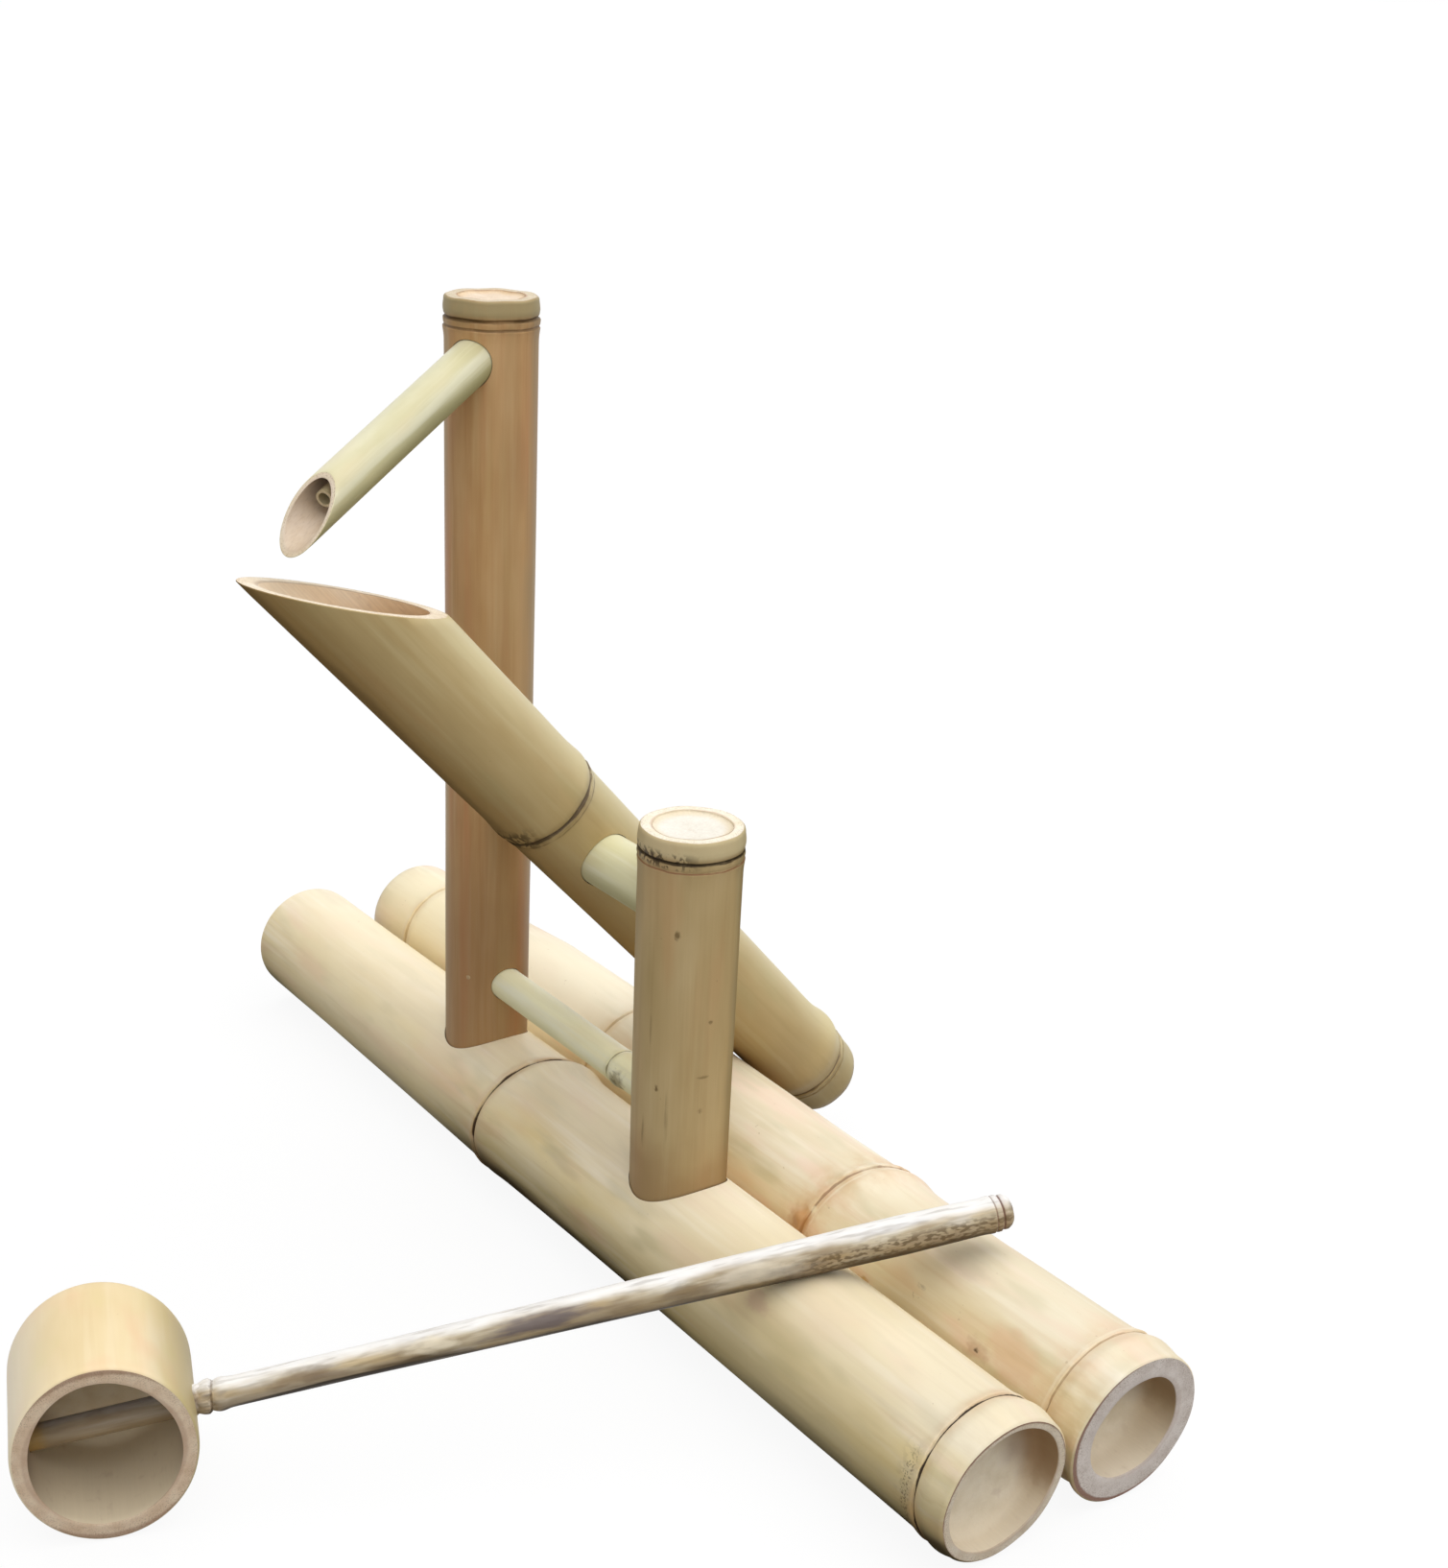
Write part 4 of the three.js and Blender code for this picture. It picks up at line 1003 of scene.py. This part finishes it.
tubeAlong = np.array([0, -math.cos(restElevation), math.sin(restElevation)])
tubeUp = np.array([0, math.sin(restElevation), math.cos(restElevation)])
tubePlace = placeAt(
    np.array(tubePivot) + tubeUp * tubeBoreDrop - tubeAlong * tubeHeelToPivot, tubeAlong, tubeUp)
tubeSpec = {
    "length": 327,
    "girths": [(0, 19.4), (17, 20.3), (60, 20.9), (140, 21.6), (229, 22.5), (234, 23.0),
               (262, 23.4), (380, 24.5)],
    "nodes": [
        {"at": 17.5, "lip": 0.45, "scar": 0.6, "crest": 1.9, "offset": 8.5, "run": 8,
         "ragged": 0.6, "jitter": 0.35},
        {"at": 14.8, "lip": 0.2, "scar": 0.35, "crest": 0, "offset": 3, "run": 4,
         "ragged": 0.6, "jitter": 0.3},
        {"at": 232.5, "lip": 0.55, "scar": 0.7, "crest": 0.8, "offset": 4, "run": 7,
         "ragged": 0.5, "jitter": 0.3},
    ],
    "wave": 0.004, "seed": 6.1, "around": 224, "step": 4,
    "mouth": {"from": 262, "middle": tubeHeelToPivot + (tubeTip + tubeLip) / 2,
              "slope": (tubeTip - tubeLip) / (2 * tubeMouthRadius)},
    "footEnd": {"kind": "open", "inner": 14.6, "depth": 13, "dish": 4, "edge": 2.4,
                "round": [(0.08, 0.75), (0.3, 0.4), (0.6, 0.14), (1, 0)]},
    "headEnd": {"kind": "open", "inner": 19.3, "depth": 92, "dish": 5, "edge": 0.5, "steps": 36},
}
tubeUnder = (-0.15, -0.99, 0)
tubeLook = {
    **paleCut, "seed": 61.0, "rough": 0.42, "outer": 24.4, "inner": 19.3,
    "mottle": 24, "skinLine": 0.4, "cutLine": "#b58a62",
    "cutShades": ("#e6d2b6", "#f2e3ca", "#fbf1e0"),
    "boreShades": ("#efd2ae", "#fae4c6", "#fff1dc"),
    "floorShades": ("#e0c6a2", "#ecd8ba", "#f3e3cb"),
    "shades": [(0.25, "#b39a68"), (0.5, "#c0a877"), (0.75, "#cab585")],
    "streak": ("#9c8352", 0.14), "pale": ("#d4c698", 0.28),
    "fibreAmount": 0.07, "grooves": 0.07,
    "blushes": [("#c39a68", 0.4, 16, 60, 0.52), ("#b0a878", 0.35, 18, 60, 0.52)],
    # Painted light and shade: paler towards the top, darker towards the underside, and a dark line
    # along the lower edge
    "sides": [((0.15, 0.99, 0), "#e3d8ac", 0.6, 6, 23), (tubeUnder, "#86602f", 0.55, 4, 22),
              (tubeUnder, "#5c4526", 0.5, 19, 23)],
    "dusty": (tubeUnder, 4, 18),
    "rings": [
        {**ringOf(tubeSpec, 2), "width": 1.2, "dark": 0.9, "colour": "#4f3d26",
         "halo": (0.55, 5, "#86704a"), "least": 0.45},
        {"at": 229.4, "width": 0.5, "dark": 0.6, "colour": "#6b5535", "least": 0.1},
        {**ringOf(tubeSpec, 0), "width": 0.6, "dark": 0.75, "colour": "#54402a",
         "halo": (0.45, 5, "#8a6f4c"), "least": 0.4},
        {"at": 14.4, "width": 0.45, "dark": 0.6, "colour": "#6b5337", "least": 0.2},
        {"at": 6, "width": 14, "dark": 0.4, "colour": "#97875f"},
    ],
    "specks": [
        {"size": 2.0, "low": 0.42, "amount": 0.85, "colour": "#51432c", "at": 235, "band": 9,
         "edge": 0.12, "facing": tubeUnder, "from": 10, "reach": 9},
        {"size": 1.4, "low": 0.74, "amount": 0.3, "colour": "#8a744c"},
    ],
}
tube = culmSheet("tipping_tube_culm", tubeSpec, tubePlace, culmLooks("tube", tubePlace, tubeLook))
tubeCut = [np.add(tubePivot, (reach, 0, 0)) for reach in (-besideTube, besideTube)]
drill(tube, [roundCutter(*tubeCut, holes["tube"])])
settle(tube, "tipping_tube", "tube")
print("tipping tube made")


# Ladle

cupAlong = np.array([math.cos(ladleYaw), math.sin(ladleYaw), 0])
handleAlong = np.array([
    -math.sin(ladleYaw) * math.cos(handleRise), math.cos(ladleYaw) * math.cos(handleRise),
    math.sin(handleRise)])
cupUp = np.cross(cupAlong, handleAlong)
cupLength = 57.5
cupPlace = placeAt(np.array(cupAxis) + cupAlong * (cupMouth - cupLength), cupAlong, cupUp)
cupSpec = {
    "length": cupLength, "girths": [(0, 32.6), (cupLength, 32.0)],
    "oval": cupHalfHeight / cupHalfWidth,
    "wave": 0.003, "seed": 2.6, "around": 224, "step": 2.5,
    "footEnd": {"kind": "solid", "edge": 5.6, "dish": -0.4, "zone": 0,
                "round": [(0.02, 0.85), (0.09, 0.6), (0.22, 0.36), (0.42, 0.16), (0.66, 0.04),
                          (0.9, 0)]},
    "headEnd": {"kind": "open", "inner": 26, "depth": 50, "dish": 6, "edge": 0.9, "steps": 20,
                "uneven": 0.012},
}
cupLook = {
    **paleCut, "seed": 71.0, "rough": 0.46, "outer": 33.6, "inner": 27.4,
    # lowPale: painted light on the lower side of the cup's inside
    "mottle": 30, "lowPale": 0.85, "skinLine": 0.5, "fibreAmount": 0.02, "grooves": 0.03,
    "boreFibre": 0.03,
    "cutShades": ("#cdb092", "#dcc4a9", "#e8d6bc"),
    "shades": [(0.34, "#e9d2a2"), (0.5, "#f0dbb0"), (0.66, "#f6e6c4")],
    "streak": ("#dcc08c", 0.1), "pale": ("#fff4dc", 0.15),
    "blushes": [("#f0c9a0", 0.5, 20, 30, 0.48), ("#e6d79c", 0.4, 16, 24, 0.5)],
    # Painted light and shade: darker towards the underside and towards +x, paler towards -x
    "sides": [((0, -1, 0), "#b59c6c", 0.6, 10, 33), ((0.99, -0.12, 0), "#9a8c56", 0.65, 14, 33),
              ((-0.99, 0.12, 0), "#fff3da", 0.6, 12, 31)],
    # Painted shade: the inside wall of the cup dark brown
    "boreShades": ("#583f2b", "#6b503a", "#7e6347"),
    "floorShades": ("#e0cba8", "#efdfc0", "#f8ecd4"),
    "specks": [{"size": 1.5, "low": 0.74, "amount": 0.25, "colour": "#c4a672"}],
}
cup = culmSheet("ladle_cup_culm", cupSpec, cupPlace, culmLooks("cup", cupPlace, cupLook))
handleFoot = np.array(cupAxis) - handleAlong * handleButt
handleEnd = np.array(cupAxis) + handleAlong * throughCup
drill(cup, [roundCutter(handleFoot, handleEnd, holes["handle"], sides=64)])
settle(cup, "ladle_cup", "ladle")

handlePlace = placeAt(handleFoot, handleAlong, (0, 0, 1))
handleSpec = {
    "length": 375,
    "girths": [(0, 4.6), (66, 5.0), (71, 5.5), (120, 5.6), (250, 6.8), (330, 7.6), (366, 7.0),
               (375, 6.6)],
    "nodes": [
        {"at": 66.4, "lip": 0.9, "scar": 0.4, "crest": 0.7, "offset": 2.8, "run": 2.4,
         "ragged": 0.6, "jitter": 0.4, "tilt": (0.1, 0.1)},
        {"at": 61.5, "lip": 0.4, "scar": 0.3, "crest": 0.2, "offset": 2, "run": 2,
         "ragged": 0.6, "jitter": 0.3},
        {"at": 370.3, "lip": 0.3, "scar": 0.5, "crest": 0.1, "offset": 2.4, "run": 2.4,
         "ragged": 0.3},
        {"at": 367.4, "lip": 0.25, "scar": 0.35, "crest": 0, "offset": 2, "run": 2,
         "ragged": 0.2},
    ],
    "wave": 0.009, "seed": 9.1, "around": 96, "step": 2.5,
    "footEnd": {"kind": "solid", "edge": 0.6, "dish": 0},
    "headEnd": {"kind": "solid", "edge": 2.6, "dish": 0.4,
                "round": [(0.08, 0.75), (0.3, 0.4), (0.6, 0.14), (1, 0)]},
}
handleUnder = (-0.57, -0.82, 0)
handleLook = {
    **paleCut, "seed": 83.0, "rough": 0.5, "outer": 7.4, "inner": 0.5,
    "mottle": 9, "fibreAmount": 0.25, "lumps": 0.6, "gloss": 0.15, "uneven": 6.0,
    "shades": [(0.36, "#a5947a"), (0.47, "#c0b094"), (0.58, "#d3c7ad"), (0.7, "#e2dccf")],
    "streak": ("#836c4a", 0.45), "pale": ("#ece7dc", 0.4),
    "blushes": [("#8c8078", 0.7, 4.5, 30, 0.52), ("#c9ab72", 0.45, 5, 34, 0.5)],
    # Painted highlight along the top, painted shade towards the underside and a dark line along
    # the lower edge
    "sides": [((0.57, 0.82, 0), "#ffffff", 0.8, 0.5, 5.4), (handleUnder, "#8f7650", 0.45, 0, 4),
              (handleUnder, "#2a1f14", 0.9, 4.6, 7.2)],
    "rings": [
        {**ringOf(handleSpec, 0), "width": 0.6, "dark": 0.6, "colour": "#6b563c",
         "halo": (0.3, 6, "#8f7a5a"), "least": 0.2},
        {**ringOf(handleSpec, 2), "width": 0.6, "dark": 0.8, "colour": "#6b4438",
         "halo": (0.4, 3, "#b08f80")},
        {**ringOf(handleSpec, 3), "width": 0.45, "dark": 0.6, "colour": "#7d5a4a", "least": 0.3},
    ],
    "specks": [
        {"size": 1.2, "low": 0.45, "amount": 0.7, "colour": "#57452d", "long": 2.6,
         "edge": 0.14, "at": 325, "band": 80, "facing": handleUnder, "from": -1.5, "reach": 4},
        {"size": 1.8, "low": 0.5, "amount": 0.3, "colour": "#6e5a40", "long": 7, "edge": 0.2},
    ],
    "marks": [
        # Darker brown where the handle runs through the cup: partly its own colour, partly painted
        # shade inside the cup
        ((0, 0, 14), 30, 44, 0.55, "#8a7352", 1.4, 0.9),
        ((0, 0, 2), 30, 9, 0.7, "#b08a48"),
        ((-3, 3, 57), 6, 9, 0.6, "#857870"),
        ((-5.9, 2.8, 99), 5, 17, 0.65, "#7d6a54"),
        ((-6.3, -2, 139), 4.5, 24, 0.75, "#453622"),
        ((-5.2, 3.9, 146), 4.5, 13, 0.6, "#f3e8cf"),
        # Painted shade: dark streaks along the underside
        ((-4.3, -4.0, 118), 3.9, 66, 0.95, "#2c2114", 1.2, 0.55),
        ((-4.9, -4.6, 205), 3.4, 56, 0.85, "#33271a", 1.2, 0.5),
        ((-5.9, 2.6, 184), 5, 26, 0.85, "#6a6062"),
        ((-6.2, 2.1, 270), 5, 26, 0.6, "#e6dcc8"),
        ((-6.2, 1.5, 243), 4.5, 15, 0.6, "#7d6b54"),
        ((-6.4, 0, 285), 4, 16, 0.4, "#857c74"),
    ],
    "cutShades": ("#c2a99c", "#d8c6bc", "#eae0d6"), "skinLine": 0.1,
}
handle = culmSheet(
    "ladle_handle_cane", handleSpec, handlePlace, culmLooks("handle", handlePlace, handleLook))
settle(handle, "ladle_handle", "ladle")
print("ladle made")


# Small parts

hoseSpec = {
    "corners": [(-238.46, 5.988, 11.9), (-54.386, 5.988, 10.13), (-54.386, 5.988, 378.21),
                (16.394, -110.884, 334.87)],
    "bends": (10, 15), "turns": 14, "radius": 3.5, "wall": 1, "sides": 32,
}


# The hose runs from corner to corner with a round bend at each: an arc between
# two directions, weighted by the sines of the turn that is left and the turn made
def hoseRoute(spec):
    corners, bends = spec["corners"], spec["bends"]
    route = [np.array(corners[0], float)]
    for before, corner, after, radius in zip(corners, corners[1:], corners[2:], bends):
        back, on = unit(np.subtract(before, corner)), unit(np.subtract(after, corner))
        half = math.acos(float(np.dot(back, on))) / 2
        centre = np.array(corner) + unit(back + on) * radius / math.sin(half)
        start = np.array(corner) + back * radius / math.tan(half) - centre
        end = np.array(corner) + on * radius / math.tan(half) - centre
        sweep = math.pi - 2 * half
        share = np.linspace(0, 1, spec["turns"] + 1)[:, None]
        route.extend(centre + (np.sin((1 - share) * sweep) * start
                               + np.sin(share * sweep) * end) / math.sin(sweep))
    route.append(np.array(corners[-1], float))
    return np.array(route)


# A round wall carried along a route: out along its outside, back along its
# inside, each ring square to the route and turned as little as can be
def sweptHose(name, route, spec, looks):
    tangent = np.gradient(route, axis=0)
    tangent /= np.linalg.norm(tangent, axis=1, keepdims=True)
    side = np.tile(unit(np.cross(tangent[0], (0.3, 1, 0.2))), (len(route), 1))
    for i in range(1, len(route)):
        side[i] = unit(side[i - 1] - np.dot(side[i - 1], tangent[i]) * tangent[i])
    angle = np.linspace(0, 2 * np.pi, spec["sides"], endpoint=False)[:, None]
    ring = np.cos(angle) * side[:, None] + np.sin(angle) * np.cross(tangent, side)[:, None]
    outer = route[:, None] + ring * spec["radius"]
    inner = route[:, None] + ring * (spec["radius"] - spec["wall"])
    points = np.concatenate([outer, inner[::-1]]).reshape(-1, 3)
    quads = ringQuads(2 * len(route), spec["sides"], True)[:, ::-1]
    return buildMesh(name, points * mm, quads, [], np.zeros(len(points)), looks)


# Soft milky hose: a little light shows through
def milkyHose(name):
    made, tree = newMaterial(name)
    local = addNode(tree, "TexCoord", {}, "Object")
    cloud = grains(tree, local, *grainSizes["hoseClouds"], 3.3)
    colour = addNode(tree, "ValToRGB", {0: cloud, "stops": [(0.3, "#c6b68c"), (0.7, "#d8cba8")]})
    rough = shareOf(tree, (cloud, 0.3, 0.7, 0.25, 0.35))
    finishMaterial(tree, colour, rough, [(cloud, 0.1, 0.2)], {
        "Transmission Weight": 0.25, "IOR": 1.42})
    return made


hose = sweptHose("feed_hose", hoseRoute(hoseSpec), hoseSpec, [milkyHose("hose_milky_plastic")])
settle(hose, "water_hose", "base")

# Whittled pins: bare wood, drawn round without the facets of the knife
dowelLook = {**paleCut, "seed": 91.0, "outer": 5, "inner": 0.3, "skinLine": 0.2,
             "cutShades": ("#c4a878", "#d8c095"), "cutPositions": (0.3, 0.7)}
dowelSpec = {
    "length": 38, "girths": [(0, 4.9)], "wave": 0.006, "around": 48, "step": 3,
    "footEnd": {"kind": "solid", "edge": 0.5, "dish": 0},
    "headEnd": {"kind": "solid", "edge": 0.5, "dish": 0},
}
dowelHeight = 31.95
dowelPlaces = ((-128.76, 13.17), (61.24, 13.03), (221.24, 13.6))
for index, (x, y) in enumerate(dowelPlaces):
    dowelPlace = placeAt((x, y, dowelHeight), (0, 1, 0), (0, 0, 1))
    bare = cutWood(f"dowel_whittled_bamboo_{index + 1}", dowelPlace, dowelLook)
    dowel = culmSheet(
        f"dowel_pin_{index + 1}", {**dowelSpec, "seed": index}, dowelPlace, [bare, bare])
    settle(dowel, f"base_dowel_{index + 1}", "base")

pegTurn = math.radians(-56)
pegMiddle = (tallPostX, 0, 91.75)
pegStart = 5.0
pegAlong = np.array([math.cos(pegTurn), math.sin(pegTurn), 0])
pegPlace = placeAt(np.array(pegMiddle) + pegAlong * pegStart, pegAlong, (0, 0, 1))
pegSpec = {
    "length": 14.3, "girths": [(0, 1.05), (14.3, 1.1)], "wave": 0.02, "seed": 4,
    "around": 32, "step": 2,
    "footEnd": {"kind": "solid", "edge": 0.2, "dish": 0},
    "headEnd": {"kind": "solid", "edge": 0.3, "dish": -0.1},
}
pegWood = cutWood("peg_whittled_bamboo", pegPlace, {**dowelLook, "outer": 2, "seed": 95.0})
peg = culmSheet("brace_pin", pegSpec, pegPlace, [pegWood, pegWood])
settle(peg, "brace_peg", "base")
print("small parts made")


# Stage

floorSpec = {"reach": 60, "drop": 0.2, "shade": "#9a9a98", "white": "#fefefe", "glow": 0.92}
skyStrength = 0.36
lampSpecs = [
    {"name": "key", "strength": 2.35, "spread": 80, "from": (0.15, 0.2, 1)},
    {"name": "fill", "strength": 0.55, "spread": 70, "from": (0.9, -0.6, 0.45)},
]
cameraSpec = {"lens": 52.01, "sensor": 36, "farthest": 200,
              "place": (0.77769, -0.4829, 0.53324), "yaw": 143.43, "pitch": 20.11, "roll": 2.60}


# One for rays from the camera, also by way of a gloss or of glass, otherwise
# zero: the largest of three marks
def seenShare(tree):
    seen = 0
    for ray in ("Is Camera Ray", "Is Glossy Ray", "Is Transmission Ray"):
        seen = addNode(tree, "Math", {
            "operation": "MAXIMUM", 0: seen, 1: addNode(tree, "LightPath", {}, ray)})
    return seen


# Floor: white where the camera sees it, with a faint shadow, and greyer for the
# light it throws back
def stageFloor(spec):
    mesh = bpy.data.meshes.new("floor")
    reach = spec["reach"]
    mesh.from_pydata([(-reach, -reach, 0), (reach, -reach, 0), (reach, reach, 0),
                      (-reach, reach, 0)], [], [(0, 1, 2, 3)])
    floor = bpy.data.objects.new("floor", mesh)
    floor.location.z = -spec["drop"] * mm
    bpy.context.scene.collection.objects.link(floor)
    made, tree = newMaterial("floor_matt_white")
    seen = seenShare(tree)
    colour = addNode(tree, "Mix", {
        "data_type": "RGBA", 0: seen, 6: spec["shade"], 7: spec["white"]}, 2)
    glow = addNode(tree, "Math", {"operation": "MULTIPLY", 0: seen, 1: spec["glow"]})
    addNode(tree, "OutputMaterial", {"Surface": addNode(tree, "MixShader", {
        0: glow, 1: addNode(tree, "BsdfDiffuse", {"Color": colour}),
        2: addNode(tree, "Emission", {"Strength": 1.0})})})
    mesh.materials.append(made)


# An even sky, plain white behind what the camera sees: the strength, and the
# rest up to one for the camera's rays
def addSky(strength):
    world = bpy.data.worlds.new("studio")
    world.use_nodes = True
    bpy.context.scene.world = world
    tree = world.node_tree
    tree.nodes.clear()
    level = addNode(tree, "Math", {
        "operation": "MULTIPLY_ADD", 0: seenShare(tree), 1: 1 - strength, 2: strength})
    addNode(tree, "OutputWorld", {"Surface": addNode(tree, "Background", {
        "Color": "#ffffff", "Strength": level})})


# Light: a broad soft sun from overhead and a little behind, and a weak one
# from the front
def addSun(spec):
    data = bpy.data.lights.new(spec["name"], "SUN")
    data.energy = spec["strength"]
    data.angle = math.radians(spec["spread"])
    lamp = bpy.data.objects.new(spec["name"], data)
    lamp.rotation_euler = Vector(spec["from"]).to_track_quat("Z", "Y").to_euler()
    bpy.context.scene.collection.objects.link(lamp)


# Camera: fitted to the outlines in the photograph. Yaw and pitch give its
# direction, and a roll turns its right and up about that.
def addCamera(spec):
    data = bpy.data.cameras.new("camera")
    data.lens = spec["lens"]
    data.sensor_width = spec["sensor"]
    data.clip_end = spec["farthest"]
    camera = bpy.data.objects.new("camera", data)
    yaw, pitch, roll = (math.radians(spec[turn]) for turn in ("yaw", "pitch", "roll"))
    ahead = np.array([math.cos(yaw) * math.cos(pitch), math.sin(yaw) * math.cos(pitch),
                      -math.sin(pitch)])
    right = unit(np.cross(ahead, (0, 0, 1)))
    up = np.cross(right, ahead)
    turnedRight = right * math.cos(roll) + up * math.sin(roll)
    turnedUp = up * math.cos(roll) - right * math.sin(roll)
    turn = Matrix(np.column_stack([turnedRight, turnedUp, -ahead]).tolist()).to_4x4()
    camera.matrix_world = Matrix.Translation(spec["place"]) @ turn
    bpy.context.scene.collection.objects.link(camera)
    bpy.context.scene.camera = camera


stageFloor(floorSpec)
addSky(skyStrength)
for lampSpec in lampSpecs:
    addSun(lampSpec)
addCamera(cameraSpec)
bpy.context.scene.view_settings.view_transform = "Standard"

print("stage, lights and camera made")
